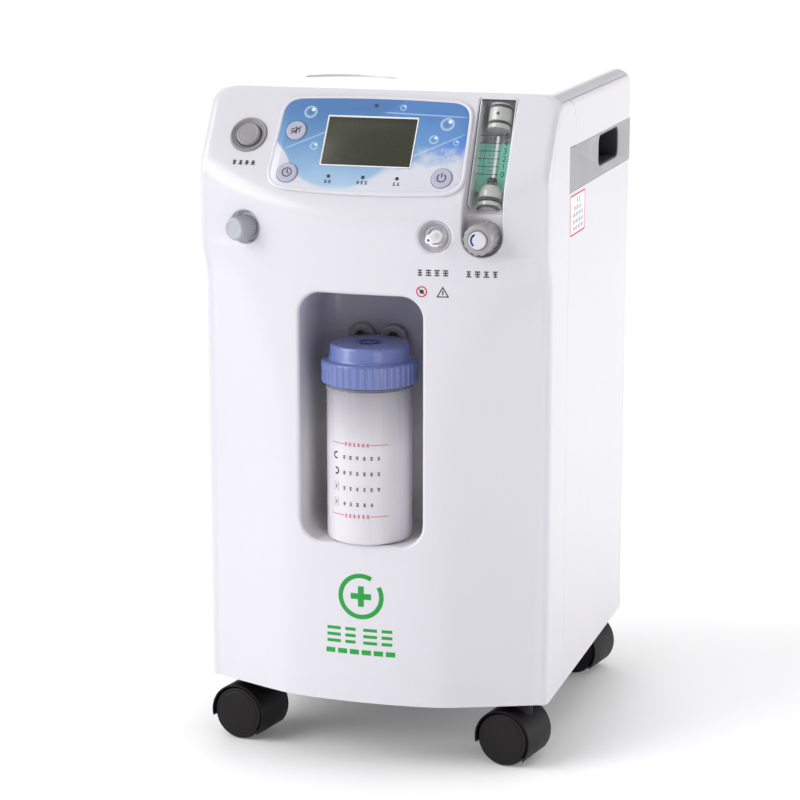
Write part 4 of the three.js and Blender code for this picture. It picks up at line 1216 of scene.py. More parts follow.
def skyPrint(name, aspect):
    # printed film: blue sky with bubbles and thin light rays, white cloud along the bottom
    material, tree, shader = startMaterial(name, Coat_Weight=0.3, Coat_Roughness=0.15)
    uv = node(tree, "ShaderNodeUVMap", uv_map="flat").outputs["UV"]
    u, v = alongAxis(tree, uv, "X"), alongAxis(tree, uv, "Y")
    wide = node(tree, "ShaderNodeMapping", {"Vector": uv, "Scale": (aspect, 1, 1)}).outputs["Vector"]
    mist = noise(tree, wide, 3.2, 6.0, 0.6)
    sky = node(tree, "ShaderNodeValToRGB", {"Fac": math2(tree, "ADD", v, times(tree, mist, 0.25))})
    stops = sky.color_ramp.elements
    stops[0].position, stops[0].color = 0.15, shade("a3bdd6")
    stops[1].position, stops[1].color = 1.05, shade("3d6da5")
    middleStop = stops.new(0.6)
    middleStop.color = shade("6390bb")
    colour = sky.outputs["Color"]

    def above(slope, start, at=0.0):
        # positive where v is over a straight line through (at, start)
        line = math2(tree, "ADD", times(tree, math2(tree, "SUBTRACT", u, at), slope), start)
        return math2(tree, "SUBTRACT", v, line)

    def soft(value, low, high):
        return node(tree, "ShaderNodeMapRange", {"Value": value, "From Min": low, "From Max": high},
                    interpolation_type="SMOOTHSTEP").outputs["Result"]
    wedge = times(tree, soft(above(0.98, 0.36, 0.68), 0.004, -0.004), soft(u, 0.66, 0.9))
    wedge = times(tree, wedge, soft(v, 0.36, 0.5))
    colour = blendColour(tree, times(tree, wedge, 0.85), colour, shade("4a78c8"))
    corner = times(tree, soft(above(-0.9, 0.86, 0.4), -0.003, 0.003),
                   soft(above(1.4, 0.72, 0.45), 0.003, -0.003))
    colour = blendColour(tree, times(tree, corner, 0.3), colour, shade("4f86d0"))
    for slope, start, at, end in ((0.95, 0.42, 0.03, 0.3), (0.98, 0.36, 0.68, 1.0), (-0.06, 0.86, 0.52, 1.0)):
        ray = math2(tree, "ABSOLUTE", above(slope, start, at))
        within = times(tree, soft(u, at, at + 0.06), soft(u, end, end - 0.06))
        fade = times(tree, times(tree, soft(ray, 0.012, 0.0), 0.35), within)
        colour = blendColour(tree, fade, colour, shade("e9f3fb"))
    edge = node(tree, "ShaderNodeFloatCurve", {"Value": u})
    curve = edge.mapping.curves[0]
    curve.points[0].location, curve.points[1].location = (0.0, 0.52), (1.0, 0.47)
    for x, y in ((0.06, 0.4), (0.13, 0.2), (0.22, 0.09), (0.32, 0.05), (0.42, 0.06), (0.52, 0.15),
                 (0.62, 0.28), (0.7, 0.32), (0.78, 0.4), (0.9, 0.42)):
        curve.points.new(x, y)
    edge.mapping.update()
    drop = math2(tree, "SUBTRACT", edge.outputs["Value"], v)
    puff = times(tree, math2(tree, "SUBTRACT", noise(tree, wide, 7.0, 8.0, 0.62), 0.5), 0.5)
    puffy = math2(tree, "ADD", drop, times(tree, puff, soft(u, 0.55, 0.75)))
    blur = remap(tree, u, 0.5, 0.75, 0.025, 0.13)
    cloud = node(tree, "ShaderNodeMapRange", {"Value": puffy, "From Min": times(tree, blur, -1.0),
                                              "From Max": blur}, interpolation_type="SMOOTHSTEP")
    colour = blendColour(tree, cloud.outputs["Result"], colour, shade("c9cad4"))
    for x, y, radius in bubbles:
        away = node(tree, "ShaderNodeVectorMath", {0: wide, 1: (x * aspect, y, 0)}, operation="DISTANCE")
        distance = away.outputs["Value"]
        size = radius * aspect
        ring = times(tree, soft(distance, size * 0.45, size * 0.92), soft(distance, size * 1.06, size))
        colour = blendColour(tree, times(tree, ring, 0.42), colour, shade("d6eaf2"))
        glint = node(tree, "ShaderNodeVectorMath", {
            0: wide, 1: (x * aspect + size * 0.35, y + size * 0.4, 0)}, operation="DISTANCE").outputs["Value"]
        colour = blendColour(tree, soft(glint, size * 0.4, size * 0.1), colour, shade("eef6fa"))
    tree.links.new(colour, shader.inputs["Base Color"])
    rub = remap(tree, noise(tree, place(tree), 60.0, 5.0), 0.3, 0.7, 0.3, 0.42)
    tree.links.new(rub, shader.inputs["Roughness"])
    bump(tree, shader, noise(tree, place(tree), 1200.0, 2.0), 0.15, 0.00005)
    return material


film = plate("panel_film", overlayOutline(0), 1.15, 1.75, Matrix.Identity(4), edge=0.12)
width, height = 2 * overlay["half"], overlayHigh - overlayLow
lampSpots = [(x, lamps["z"]) for x in lamps["x"]] + [lamps["sensor"]]
cuts = [loft("hole", [[(u, v, level) for u, v in window] for level in (-9, 9)], wrap=True, capped=True,
             merge=0.0001)]
cuts += [drill(keyRadius + 0.5, -12, 12, onPanel(x, z), 48) for x, z in keySpots.values()]
cuts += [drill(lamps["radius"], 1.4, 12, onPanel(x, z), 24) for x, z in lampSpots]
carve(film, cuts)
finishMesh(film, skyPrint("sky_print", width / height), 30)
layer = film.data.uv_layers.new(name="flat")
for loop in film.data.loops:
    p = film.data.vertices[loop.vertex_index].co / mm
    layer.data[loop.index].uv = ((p.x - overlay["middle"] + overlay["half"]) / width,
                                 (p.y - overlayLow) / height)
moveMesh(film, slopePlace)
keep(film, "cabinet", "overlay", "control_overlay")

lampSide = lamps["radius"] - 0.1
lampProfile = rounded([(0, 1.0), (lampSide, 1.0), (lampSide, 1.6), (lamps["radius"] - 0.6, 1.75),
                       (0, 1.55)], 0.3)
darkSpots = [lathe("lamp", lampProfile, slopePlace @ onPanel(x, z), steps=24) for x, z in lampSpots]
keep(joined("panel_lamps", darkSpots, lensDark), "cabinet", "overlay")


def liquidCrystal(name):
    # dark olive window with a faint cell grid and a darker shadow under the frame's top edge
    material, tree, shader = startMaterial(name, Specular_IOR_Level=0.3)
    spot = place(tree)
    shadow = remap(tree, alongAxis(tree, spot, "Z"), 0.5715, 0.5768, 0.0, 0.5)
    cells = node(tree, "ShaderNodeTexChecker", {"Vector": spot, "Scale": 900.0}).outputs["Fac"]
    tone = blendColour(tree, times(tree, cells, 0.25), shade("3d3e34"), shade("38392f"))
    tree.links.new(blendColour(tree, shadow, tone, shade("1b1c16")), shader.inputs["Base Color"])
    tree.links.new(remap(tree, noise(tree, spot, 30.0, 3.0), 0.3, 0.7, 0.22, 0.3), shader.inputs["Roughness"])
    return material


screen = plate("display_window", displayOutline(-0.5, 0.5, 2), -11.5, 0.9, slopePlace,
               liquidCrystal("display_glass"), 0.15)
keep(screen, "cabinet", "display", "display_module")
displayRim = band("display_frame", displayOutline(0.1, 0.9, 4), displayOutline(-1.2, 0.5, 4),
                  [(0, 0.6), (0, 1.8), (0.25, 2.05), (0.7, 1.95), (1, 1.1), (1, 0.6)], slopePlace, labelWhite)
keep(displayRim, "cabinet", "shell")

symbols = {
    "mute": ([([(-3.9, -1.3), (-2.0, -1.3), (0.4, -3.4), (0.4, 3.4), (-2.0, 1.3), (-3.9, 1.3)], 0.95, True),
              (arc((0.4, 0), 3.1, -48, 48, 8), 0.9, False), ([(-4.2, -3.7), (4.6, 3.7)], 0.95, False)], []),
    "timer": ([(circle((0, 0), 4.1, 26), 1.0, True), ([(0, 2.8), (0, 0), (2.1, -1.2)], 0.95, False)], []),
    "power": ([(arc((0, -0.2), 3.8, 125, 415, 24), 1.05, False), ([(0, 0.6), (0, 4.5)], 1.05, False)], []),
}
for name, (x, z) in keySpots.items():
    where = slopePlace @ onPanel(x, z)
    cap = lathe("key_" + name, rounded([
        (0, -6.9), (keyRadius, -6.9), (keyRadius, 2.4), (keyRadius - 0.9, 3.15), (4, 3.0), (0, 2.75)], 0.8),
        where, keyGrey, 56)
    keep(cap, name + "_key", "key", "button_" + name)

    def onKey(u, v, height, x=x, y=slopeLevel(z)):
        return slopePlace @ Vector((x + u, y + v, 2.95 + height))
    strips, fills = symbols[name]
    keep(printed("key_symbol_" + name, onKey, inkBlack, strips, fills, lift=0.14), name + "_key", "key")

captions = []
for i, x in enumerate(lamps["x"]):
    captions += strokeLine((x, slopeLevel(lamps["z"]) - 5.2), 3 if i == 1 else 2, 3.2, 3.7, 20 + i)
keep(printed("lamp_captions", onSlope(1.75), inkBlack, captions, lift=0.06), "cabinet", "overlay")

monitorWhere = slopePlace @ moved(monitorMiddle.x, monitorMiddle.y, 0)
monitorRing = lathe("monitor_ring", rounded([
    (16.6, -3), (16.7, 0.9), (16.0, 1.5), (15.2, 1.3), (14.2, 0.2), (12.8, -0.9), (11.6, -1.0), (11.6, -5.8),
    (13.8, -5.8), (13.8, -3), (16.6, -3)], 0.5), monitorWhere, portGrey, 72)
keep(monitorRing, "cabinet", "grey", "monitor_port_ring")
monitorKey = lathe("monitor_key_cap", rounded([
    (0, -8.8), (10.9, -8.8), (10.9, 1.4), (9.9, 2.5), (8.6, 2.55), (8.1, 2.2), (7.2, 2.35), (0, 2.5)], 0.5),
    monitorWhere, portGrey, 72)
keep(monitorKey, "monitor_key", "grey", "button_monitor")
captionMonitor = strokeLine((monitorMiddle.x + 0.5, monitorMiddle.y - 27.5), 4, 4.2, 5.8, 31)
keep(printed("monitor_caption", onSlope(0.0), inkBlack, captionMonitor, lift=0.12), "cabinet", "shell")

print("auxiliary port, outlet, knob")
portTurn = -17
portWhere = moved(portDish["x"], bowY(portDish["x"]), fittingZ) @ turned(portTurn, "Z") @ facingFront
portCap = lathe("port_cap", rounded([(0, -5.4), (9.4, -5.4), (9.9, -4.6), (9.9, 13.6), (9.0, 15.6),
                                     (7.2, 15.9), (6.6, 15.4), (0, 15.3)], 0.9), portWhere, fittingGrey, 64)
portFlutes = grown("port_cap_flutes", ribsRound, portWhere @ moved(0, 0, 4.4), fittingGrey, count=34,
                   ringRadius=9.75, ribWidth=1.15, ribDepth=1.4, ribHeight=18)
keep(portCap, "port_cap", "grey", "auxiliary_port_cap")
keep(portFlutes, "port_cap", "grey")
portSeat = lathe("port_seat", rounded([
    (0, -5.9), (12.9, -5.9), (12.9, -7.6), (5.9, -7.6), (5.9, -21.8), (0, -21.8)], 0.5),
    portWhere, fittingGrey, 48)
keep(portSeat, "cabinet", "grey", "auxiliary_port_socket")

outletWhere = moved(outletDish["x"], bowY(outletDish["x"]), fittingZ) @ facingFront
outletCup = lathe("outlet_cup", rounded([
    (0, -10.8), (7.5, -10.8), (7.5, -3.9), (8.0, -3.3), (9.1, -3.9), (9.1, -21.8), (0, -21.8)], 0.5),
    outletWhere, labelWhite, 56)
keep(outletCup, "cabinet", "milky", "outlet_socket")
tip = bowY(outletDish["x"]) - nodeBox("outlet_nipple")[0].y
nipple = lathe("outlet_barb", rounded([
    (0, -10.2), (6.1, -10.2), (6.1, -6.8), (5.2, -5.6), (3.5, -4.8), (3.2, 3.6), (4.4, 6.2), (3.3, 8.2),
    (4.5, 10.6), (2.9, tip - 0.4), (2.5, tip), (1.5, tip), (1.3, tip - 0.6), (1.3, -4), (0, -4)], 0.4),
    outletWhere, labelWhite, 48)
keep(nipple, "cabinet", "milky", "outlet_nipple")
clipRing = arc((0, 0), 8.6, -70, -70 + 8 * 33, 33)
clip = wire("outlet_clip", [outletWhere @ Vector((*p, -2.9)) for p in clipRing], 0.45, platedSteel)
keep(clip, "cabinet", "milky")

knobWhere = moved(channel["x"], 0, fittingZ) @ facingFront
knobSizes = {"base": 151.9, "face": 178.0, "radius": 13.3, "ribs": 14}
knobBase, knobFace, knobRadius = (knobSizes[part] for part in ("base", "face", "radius"))
knob = lathe("knob_body", rounded([
    (0, knobBase), (knobRadius, knobBase), (knobRadius, knobFace - 3.4), (knobRadius - 1.6, knobFace - 0.4),
    (8.6, knobFace - 0.1), (8.2, knobFace - 0.9), (0, knobFace - 0.9)], 1.0), knobWhere, knobGrey, 72)
keep(knob, "flow_control", "grey", "flow_knob")
knobRibs = grown("knob_ribs", ribsRound, knobWhere @ moved(0, 0, (knobBase + knobFace) / 2 - 1.4),
                 knobGrey, count=knobSizes["ribs"], ringRadius=knobRadius - 0.3, ribWidth=3.4, ribDepth=2.2,
                 ribHeight=knobFace - knobBase - 3.4)
keep(knobRibs, "flow_control", "grey")
knobStem = lathe("knob_stem", rounded([
    (0, 126.3), (2.9, 126.3), (2.9, knobBase + 0.4), (0, knobBase + 0.4)], 0.4), knobWhere, platedSteel, 32)
keep(knobStem, "flow_control", "grey")
knobDisc = lathe("knob_disc", rounded([
    (0, knobFace - 0.7), (7.7, knobFace - 0.7), (7.7, knobFace + 2.0), (7.1, knobFace + 2.55),
    (0, knobFace + 2.4)], 0.5), knobWhere, capWhite, 56)
keep(knobDisc, "flow_control", "shell", "flow_knob_cap")


def onKnob(u, v, height):
    return knobWhere @ Vector((u, v, knobFace + 2.45 + height))


keep(printed("knob_arc", onKnob, inkNavy, [(arc((0, 0), 5.3, 112, 236, 18), 1.9, False)],
             [[(-4.7, 4.1), (-1.6, 6.3), (-2.2, 4.2)]], lift=0.12), "flow_control", "shell")

print("flowmeter")
alongMeter = turned(-90, "X")  # local +Z to the meter's +Y


def onMeterAxis(name, profile, material, steps=40, sharpAngle=40):
    return lathe(name, profile, meterPlace @ moved(0, 0, -meter["depth"] / 2) @ alongMeter, material,
                 steps, sharpAngle)


halfMeter = meter["width"] / 2
block = plate("flowmeter_block",
              roundedBox((-halfMeter + 0.5, halfMeter - 0.5), (-meter["length"], 0), 2.4, 6),
              -meter["depth"], 0, meterPlace, None, 1.1)
below, over = -99, 2  # just past both ends of the block
for radius, low, high in ((meter["bore"], below, over), (meter["fitting"], meter["topFitting"], over),
                          (meter["fitting"], below, meter["baseFitting"])):
    carve(block, [onMeterAxis("bore", [(0, low), (radius, low), (radius, high), (0, high)], None)])
finishMesh(block, clearAcrylic, 35)
keep(block, "cabinet", "acrylic", "flowmeter_tube")
plugRadius = meter["fitting"] - 0.3
fittingClear = moulded("fitting_clear", "cdcdca", "bdbdba", 0.16, 700.0, 0.0001, coat=0.8)
plug = onMeterAxis("flowmeter_plug", rounded([
    (0, -23.7), (plugRadius, -23.7), (plugRadius, -20), (plugRadius - 0.9, -19.2), (plugRadius - 0.9, -17.4),
    (plugRadius, -16.6), (plugRadius, -5), (plugRadius - 0.9, -4.2), (plugRadius - 0.9, -2.6),
    (plugRadius, -1.8), (plugRadius - 0.5, -0.3), (0, -0.3)], 0.4), fittingClear, 64)
carve(plug, [drill(1.5, -5, 5, meterPlace @ moved(0, -11, -3), 24)])
finishMesh(plug, fittingClear, 35)
keep(plug, "cabinet", "cast_metal", "flowmeter_top_plug")
baseFitting = onMeterAxis("flowmeter_base", rounded([
    (0, -96.7), (plugRadius - 1, -96.7), (plugRadius, -95), (plugRadius, -91), (plugRadius - 2.2, -90.2),
    (plugRadius - 2.2, -87.6), (plugRadius, -86.8), (plugRadius, -81), (7.6, -75.6), (0, -75.6)], 0.6),
    fittingClear, 64)
keep(baseFitting, "cabinet", "black", "flowmeter_base_fitting")
sealRings = []
sealIn, sealOut = plugRadius - 2, plugRadius + 0.15
for y in (-18.3, -3.4, -88.9, -95.6):
    sealRings.append(onMeterAxis("seal_ring", rounded([
        (sealIn, y - 1.1), (sealOut, y - 1.1), (sealOut, y + 1.1), (sealIn, y + 1.1), (sealIn, y - 1.1)],
        0.5), None, 64))
keep(joined("flowmeter_seals", sealRings, inkBlack), "cabinet", "black")
scaleTeal = moulded("scale_teal", "86dec4", "7ed6bc", 0.4, 900.0, 0.0001)
scalePlate = plate("flowmeter_scale_plate", roundedBox((-15.2, 15.2), (-78, -33), 1.2, 4), -18.4, -17.4,
                   meterPlace, scaleTeal, 0.2)
keep(scalePlate, "cabinet", "teal", "flowmeter_scale")
floatLow = -74.7
floatPiece = onMeterAxis("float_ball", rounded([
    (0, floatLow), (2.4, floatLow), (4.3, floatLow + 2.4), (4.55, floatLow + 5.6), (3.4, floatLow + 7.6),
    (0, floatLow + 7.8)], 1.2), inkBlack, 40)
keep(floatPiece, "float", "black", "flow_float")


def onMeterFace(u, v, height):
    return meterPlace @ Vector((u, v, height))


scaleMarks = []
scaleStart, scaleStep = -68, 7.1
for i in range(6):
    y = scaleStart + scaleStep * i
    scaleMarks.append(([(-12.6, y), (7.4, y)], 0.5, False))
    if i < 5:
        scaleMarks.append(([(-2.8, y + scaleStep / 2), (2.8, y + scaleStep / 2)], 0.3, False))
for x in (-6.4, 6.4):
    scaleMarks.append(([(x, scaleStart - 2), (x, scaleStart + scaleStep * 5 + 3)], 0.3, False))
keep(printed("scale_lines", onMeterFace, inkBlack, scaleMarks, lift=0.08), "cabinet", "acrylic")


def digitMesh(text, size, where):
    data = bpy.data.curves.new("digit", "FONT")
    data.body, data.size, data.extrude = text, size * mm, 0.1 * mm
    data.align_x, data.align_y = "CENTER", "CENTER"
    obj = plainMesh("digit", addObject("digit", data))
    return finishMesh(moveMesh(obj, where), None, 20, merge=0.001)


digits = [digitMesh(str(i), 7.4, meterPlace @ moved(11.2, scaleStart + scaleStep * i, 0.05))
          for i in range(6)]
keep(joined("scale_digits", digits, inkBlack), "cabinet", "acrylic")
for side in (-1, 1):
    x = side * (halfMeter - 0.1)
    strip = plate("meter_strip_" + ("left" if side < 0 else "right"),
                  box2(x - 0.35, -meter["length"] + 1, x + 0.35, -0.6), -meter["depth"], 0.3, meterPlace,
                  labelWhite, 0.12)
    keep(strip, "cabinet", "aluminium")
whiteLine = printed("scale_white_line", onMeterFace, fittingClear, fills=[box2(2.4, -71, 4.8, -33)],
                    lift=0.04)
keep(whiteLine, "cabinet", "acrylic")

print("marks")


def onFront(u, v, height):
    return (u, frontSkin(u, v) - height, v)


frontMarks = strokeLine((outletDish["x"] - 1, 451), 4, 5.6, 7.4, 41)
frontMarks += strokeLine((channel["x"] + 0.5, 450.5), 4, 5.6, 7.4, 42)
signs = {"warning": (71.6, 434.2), "ring": (53.4, 434.4)}
x, z = signs["warning"]
frontMarks.append(([(x - 4.7, z - 3.9), (x + 4.7, z - 3.9), (x, z + 4.4)], 1.9, True))
frontFills = [circle(signs["ring"], 1.9, 16), box2(x - 0.55, z - 2.4, x + 0.55, z + 1.4)]
keep(printed("front_marks", onFront, inkBlack, frontMarks, frontFills), "cabinet", "shell")
ringStrips = [(circle(signs["ring"], 4.3, 32), 1.1, True), ([(50.5, 437.3), (56.3, 431.5)], 0.9, False)]
keep(printed("front_mark_ring", onFront, inkRed, ringStrips), "cabinet", "shell")

emblem = {"centre": (-1.5, 157), "radius": 19, "ring": 4.2, "arm": 9.5, "bar": 5.4}
cx, cz = emblem["centre"]
arm, bar = emblem["arm"], emblem["bar"]
emblemStrips = [(arc(emblem["centre"], emblem["radius"], 60, 390, 44), emblem["ring"], False),
                ([(cx - arm, cz), (cx - bar / 2, cz)], bar, False),
                ([(cx + bar / 2, cz), (cx + arm, cz)], bar, False),
                ([(cx, cz - arm), (cx, cz + arm)], bar, False)]
for i in range(4):
    x = cx - 25.5 + 17 * i
    for z in (114, 120, 126):
        emblemStrips.append(([(x - 6.4, z), (x + 6.4 - 3 * (i % 2), z)], 2.9, False))
for i in range(6):
    x = cx - 33 + 11.2 * i
    emblemStrips.append(([(x, 105), (x + 8.6, 105)], 4.6, False))
keep(printed("front_emblem", onFront, inkGreen, emblemStrips, lift=0.1), "cabinet", "shell")


def onSide(u, v, height):
    return (halfWidth + height, u, v)


labelY, labelZ = (-71.5, -11.5), (470, 508)
labelSheet = printed("side_label", onSide, labelWhite, fills=[roundedBox(labelY, labelZ, 2.5, 4)])
keep(labelSheet, "cabinet", "shell")
border = dense(roundedBox((labelY[0] + 1.6, labelY[1] - 1.6), (labelZ[0] + 1.4, labelZ[1] - 1.4), 1.6, 4), 6)
keep(printed("side_label_border", onSide, inkRed, [(border, 1.7, True)], lift=0.2), "cabinet", "shell")
labelLines = strokeLine((-40, 501), 2, 4.4, 7.5, 51)
for row in range(4):
    labelLines += strokeLine((-43 + 1.4 * row, 494.5 - 6 * row), 7 if row else 5, 3.6, 6.2, 52 + row)
keep(printed("side_label_lines", onSide, inkBlack, labelLines, lift=0.2), "cabinet", "shell")

print("casters")
caster = {"trail": 10, "turn": -11, "wheel": 25, "half": 23.5, "clear": 3.6, "hood": 27.2, "hoodSkin": 1.5,
          "hoodHalf": 24, "from": -40, "to": 192, "stem": 5.5, "axle": 3.9}
wheelRadius, wheelHalf, axle, wheelGap = (caster[part] for part in ("wheel", "half", "axle", "clear"))
hoodStart, hoodEnd, hoodRadius, stemRadius = (caster[part] for part in ("from", "to", "hood", "stem"))
wheelSide = rounded([
    (axle, wheelGap + 1.2), (wheelRadius - 2.2, wheelGap + 0.6), (wheelRadius, wheelGap + 2.0),
    (wheelRadius, wheelHalf - 3.2), (wheelRadius - 2.0, wheelHalf - 0.6), (wheelRadius - 4.6, wheelHalf - 0.9),
    (wheelRadius - 5.4, wheelHalf - 0.2), (9, wheelHalf), (0, wheelHalf)], 1.4, 5)
wheelProfile = [(r, -h) for r, h in reversed(wheelSide)] + [(axle, 0)] + wheelSide
stemTop = nodeBox("caster_swivel_front_left")[1].z


def hoodPiece(name, where):
    section = roundedBox((hoodRadius - caster["hoodSkin"], hoodRadius),
                         (-caster["hoodHalf"], caster["hoodHalf"]), 0.7, 4)
    rows = []
    for i in range(49):
        a = math.radians(hoodStart + (hoodEnd - hoodStart) * i / 48)
        rows.append([(r * math.cos(a), level, r * math.sin(a)) for r, level in section])
    shell = loft(name, rows, wrap=True, capped=True, merge=0.001)
    sector = [(0, -9), (9, -9)] + arc((0, 0), hoodRadius - 0.7, hoodStart, hoodEnd, 40) + [(-9, -9)]
    web = plate("web", sector, -3, 3, turned(90, "X"), None, 0.3)
    upright = moved(caster["trail"], 0, -wheelRadius)
    stem = lathe("stem", rounded([(0, wheelRadius + 20), (8.8, wheelRadius + 20), (8.8, bodyBottom - 1.4),
                                  (stemRadius, bodyBottom - 1), (stemRadius, stemTop - 0.8), (0, stemTop)],
                                 0.8),
                 upright, None, 40)
    hood = joined(name, [shell, web, stem], casterBlack)
    return finishMesh(moveMesh(hood, where), casterBlack, 35, merge=0.0005)


for corner in ("front_left", "front_right", "rear_left", "rear_right"):
    low, high = nodeBox("caster_wheels_" + corner)
    hub = moved((low.x + high.x) / 2, (low.y + high.y) / 2, wheelRadius) @ turned(caster["turn"], "Z")
    wheels = lathe("wheels_" + corner, wheelProfile, hub @ turned(90, "X"), casterBlack, 96, 35)
    keep(wheels, "wheels_" + corner, "black", "caster_wheels_" + corner)
    keep(hoodPiece("hood_" + corner, hub), "swivel_" + corner, "black", "caster_swivel_" + corner)

print("back and inside")
door = boxSolid("door_leaf", (doorLow.x, doorHigh.x), (doorLow.y, doorHigh.y), (doorLow.z, doorHigh.z))
slotRows = {"count": 6, "pitch": 15, "first": 28.5, "height": 6.4, "margin": 12}
doorSlots = []
for row in range(slotRows["count"]):
    z = doorLow.z + slotRows["first"] + slotRows["pitch"] * row
    doorSlots.append(slotCut((doorLow.x + slotRows["margin"], doorHigh.x - slotRows["margin"]), z,
                             slotRows["height"], (180, 200)))
fingerDip = arc(((doorLow.x + doorHigh.x) / 2, doorHigh.z + 4), 11, 180, 360, 20)
doorSlots.append(prism("cut", fingerDip, (180, 200), "y"))
carve(door, doorSlots)
finishMesh(softEdges(door, 0.4), cabinetWhite, 30)
keep(door, "door", "shell", "filter_door")
louvreMiddle = doorLow.z + slotRows["first"] + slotRows["pitch"] * (slotRows["count"] - 1) / 2
louvres = grown("door_louvres", barsInRow,
                moved((doorLow.x + doorHigh.x) / 2, (doorLow.y + doorHigh.y) / 2, louvreMiddle), cabinetWhite,
                count=slotRows["count"], pitch=slotRows["pitch"],
                length=doorHigh.x - doorLow.x - 2 * slotRows["margin"] + 1, height=1.6, depth=2.4)
keep(louvres, "door", "shell")
guard = grown("fan_guard_bars", barsInRow, moved(fanMiddle.x, backSeamY - 1.4, fanMiddle.z) @
              turned(90, "Y"), baseBlack, count=11, pitch=10, length=112, height=1.4, depth=1.2)
keep(guard, "cabinet", "black")
backMiddle = turned(180, "Z") @ facingFront
screws = grown("back_screws", screwHeads, moved(0, shellHigh.y + 0.35, 325) @ backMiddle, platedSteel,
               columns=2, rows=3, across=282, up=490, headRadius=3.6, headHeight=1.1)
keep(screws, "cabinet", "cast_metal")
coilLow, coilHigh = nodeBox("cooling_coil")
coil = grown("condenser_coil", woundPipe, moved(fanMiddle.x, coilHigh.y - 4, fanMiddle.z) @ facingFront,
             drawnCopper, turns=3, coilRadius=44, coilLength=coilHigh.y - coilLow.y - 8, pipeRadius=3.6)
keep(coil, "cabinet", "copper", "cooling_coil")
for side in ("left", "right"):
    low, high = nodeBox("compressor_head_" + side)
    where = moved(*(low + high) / 2) @ turned(90, "X") @ turned(90, "Y")
    fins = grown("cylinder_fins_" + side, barsInRow, where, castAluminium, count=9, pitch=7.6,
                 length=high.y - low.y + 5, height=2.2, depth=high.x - low.x + 4)
    keep(fins, "cabinet", "aluminium")
inletFace = (inletLow + inletHigh) / 2
pins = grown("inlet_pins", barsInRow, moved(inletFace.x, inletHigh.y - 9, inletFace.z) @
             turned(90, "Z") @ turned(90, "X"), platedSteel, count=3,
             pitch=9, length=15, height=2.2, depth=4.4)
keep(pins, "cabinet", "black")

boardGreen = moulded("board_green", "1f6b3c", "19603a", 0.45, 1400.0, 0.0003, coat=0.3)


def openFoam(name):
    # open-cell sponge: two sizes of pores in colour and relief
    material, tree, shader = startMaterial(name)
    spot = place(tree)
    pores = node(tree, "ShaderNodeTexVoronoi", {"Vector": spot, "Scale": 620.0}).outputs["Distance"]
    large = noise(tree, spot, 90.0, 4.0)
    tone = times(tree, remap(tree, pores, 0.1, 0.6, 0.2, 1.0), remap(tree, large, 0.3, 0.7, 0.7, 1.0))
    tree.links.new(blendColour(tree, tone, shade("1c1d1f"), shade("4a4c50")), shader.inputs["Base Color"])
    shader.inputs["Roughness"].default_value = 0.95
    bump(tree, shader, pores, 0.9, 0.0012)
    return material


carried = {
    "base_tray": baseBlack, "control_board": boardGreen, "flow_valve_body": turnedAluminium,
    "intake_foam": openFoam("intake_foam"), "power_inlet": baseBlack, "compressor_motor": castAluminium,
    "compressor_head_left": castAluminium, "compressor_head_right": castAluminium,
    "compressor_bracket": platedSteel, "intake_muffler": baseBlack, "sieve_bed_left": turnedAluminium,
    "sieve_bed_right": turnedAluminium, "valve_manifold": castAluminium, "product_tank": turnedAluminium,
    "fan_shroud": baseBlack, "fan_rotor": gripCharcoal,
}
for name, material in carried.items():
    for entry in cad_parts[name].material_slots:
        entry.material = material


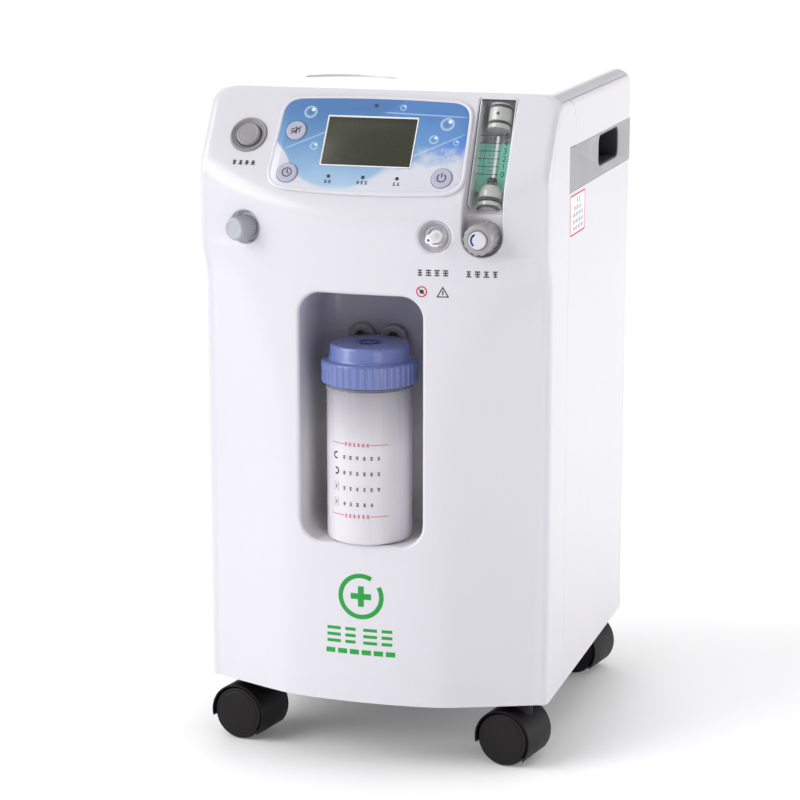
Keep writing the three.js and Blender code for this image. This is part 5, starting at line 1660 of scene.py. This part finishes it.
print("camera, light and floor")
view = {"azimuth": 16.63, "elevation": 12.51, "distance": 2456.8, "target": (-21.6, 12.5, 294.6),
        "lens": 116.6}
azimuth, elevation = math.radians(view["azimuth"]), math.radians(view["elevation"])
toCamera = Vector((math.sin(azimuth) * math.cos(elevation), -math.cos(azimuth) * math.cos(elevation),
                   math.sin(elevation)))
cameraData = bpy.data.cameras.new("camera")
cameraData.lens, cameraData.sensor_width, cameraData.clip_end = view["lens"], 36, 50
camera = addObject("camera", cameraData)
camera.location = (Vector(view["target"]) + toCamera * view["distance"]) * mm
camera.rotation_euler = (-toCamera).to_track_quat("-Z", "Y").to_euler()
bpy.context.scene.camera = camera


def softLight(name, position, size, power, target=(0, 0, 0.3), colour=(1, 1, 1)):
    light = bpy.data.lights.new(name, "AREA")
    light.shape, light.size, light.energy, light.color = "SQUARE", size, power, colour
    obj = addObject(name, light)
    obj.location = position
    obj.rotation_euler = (Vector(target) - Vector(position)).to_track_quat("-Z", "Y").to_euler()
    return obj


softLight("side_light", (3.0, 0.9, 0.9), 1.5, 34, (0, 0, 0.15))
softLight("rear_light", (-1.0, 2.8, 1.4), 1.8, 12)
softLight("low_light", (1.25, -1.6, 0.25), 0.8, 3.5, (0, -0.1, 0.28))


def sunLight(name, source, strength, spread):
    light = bpy.data.lights.new(name, "SUN")
    light.energy, light.angle = strength, math.radians(spread)
    obj = addObject(name, light)
    obj.rotation_euler = (-Vector(source)).to_track_quat("-Z", "Y").to_euler()


sunLight("key_window", (-0.82, -0.58, 0.5), 2.32, 48)
sunLight("ceiling", (0.0, 0.3, 1.0), 1.25, 90)
bpy.context.scene.view_settings.view_transform = "Standard"

world = bpy.data.worlds.new("studio")
bpy.context.scene.world = world
world.use_nodes = True
sky = world.node_tree
sky.nodes["Background"].inputs["Color"].default_value = (1.0, 1.0, 1.0, 1)
rise = alongAxis(sky, node(sky, "ShaderNodeTexCoord").outputs["Generated"], "Z")
sky.links.new(remap(sky, rise, 0.06, 0.22, 1.0, 0.28), sky.nodes["Background"].inputs["Strength"])

floorPaint = moulded("floor_paint", "fcfcfd", "fafafb", 0.7, 120.0, 0.0001, Emission_Color=(1, 1, 1, 1),
                     Emission_Strength=0.08)
reach, cells = 30000, 30
tile = 2 * reach / cells
ground = loft("floor", [[(-reach + tile * c, -reach + tile * r, 0) for c in range(cells + 1)]
                        for r in range(cells + 1)], floorPaint)
faceToward(ground, (0, 0, 1))
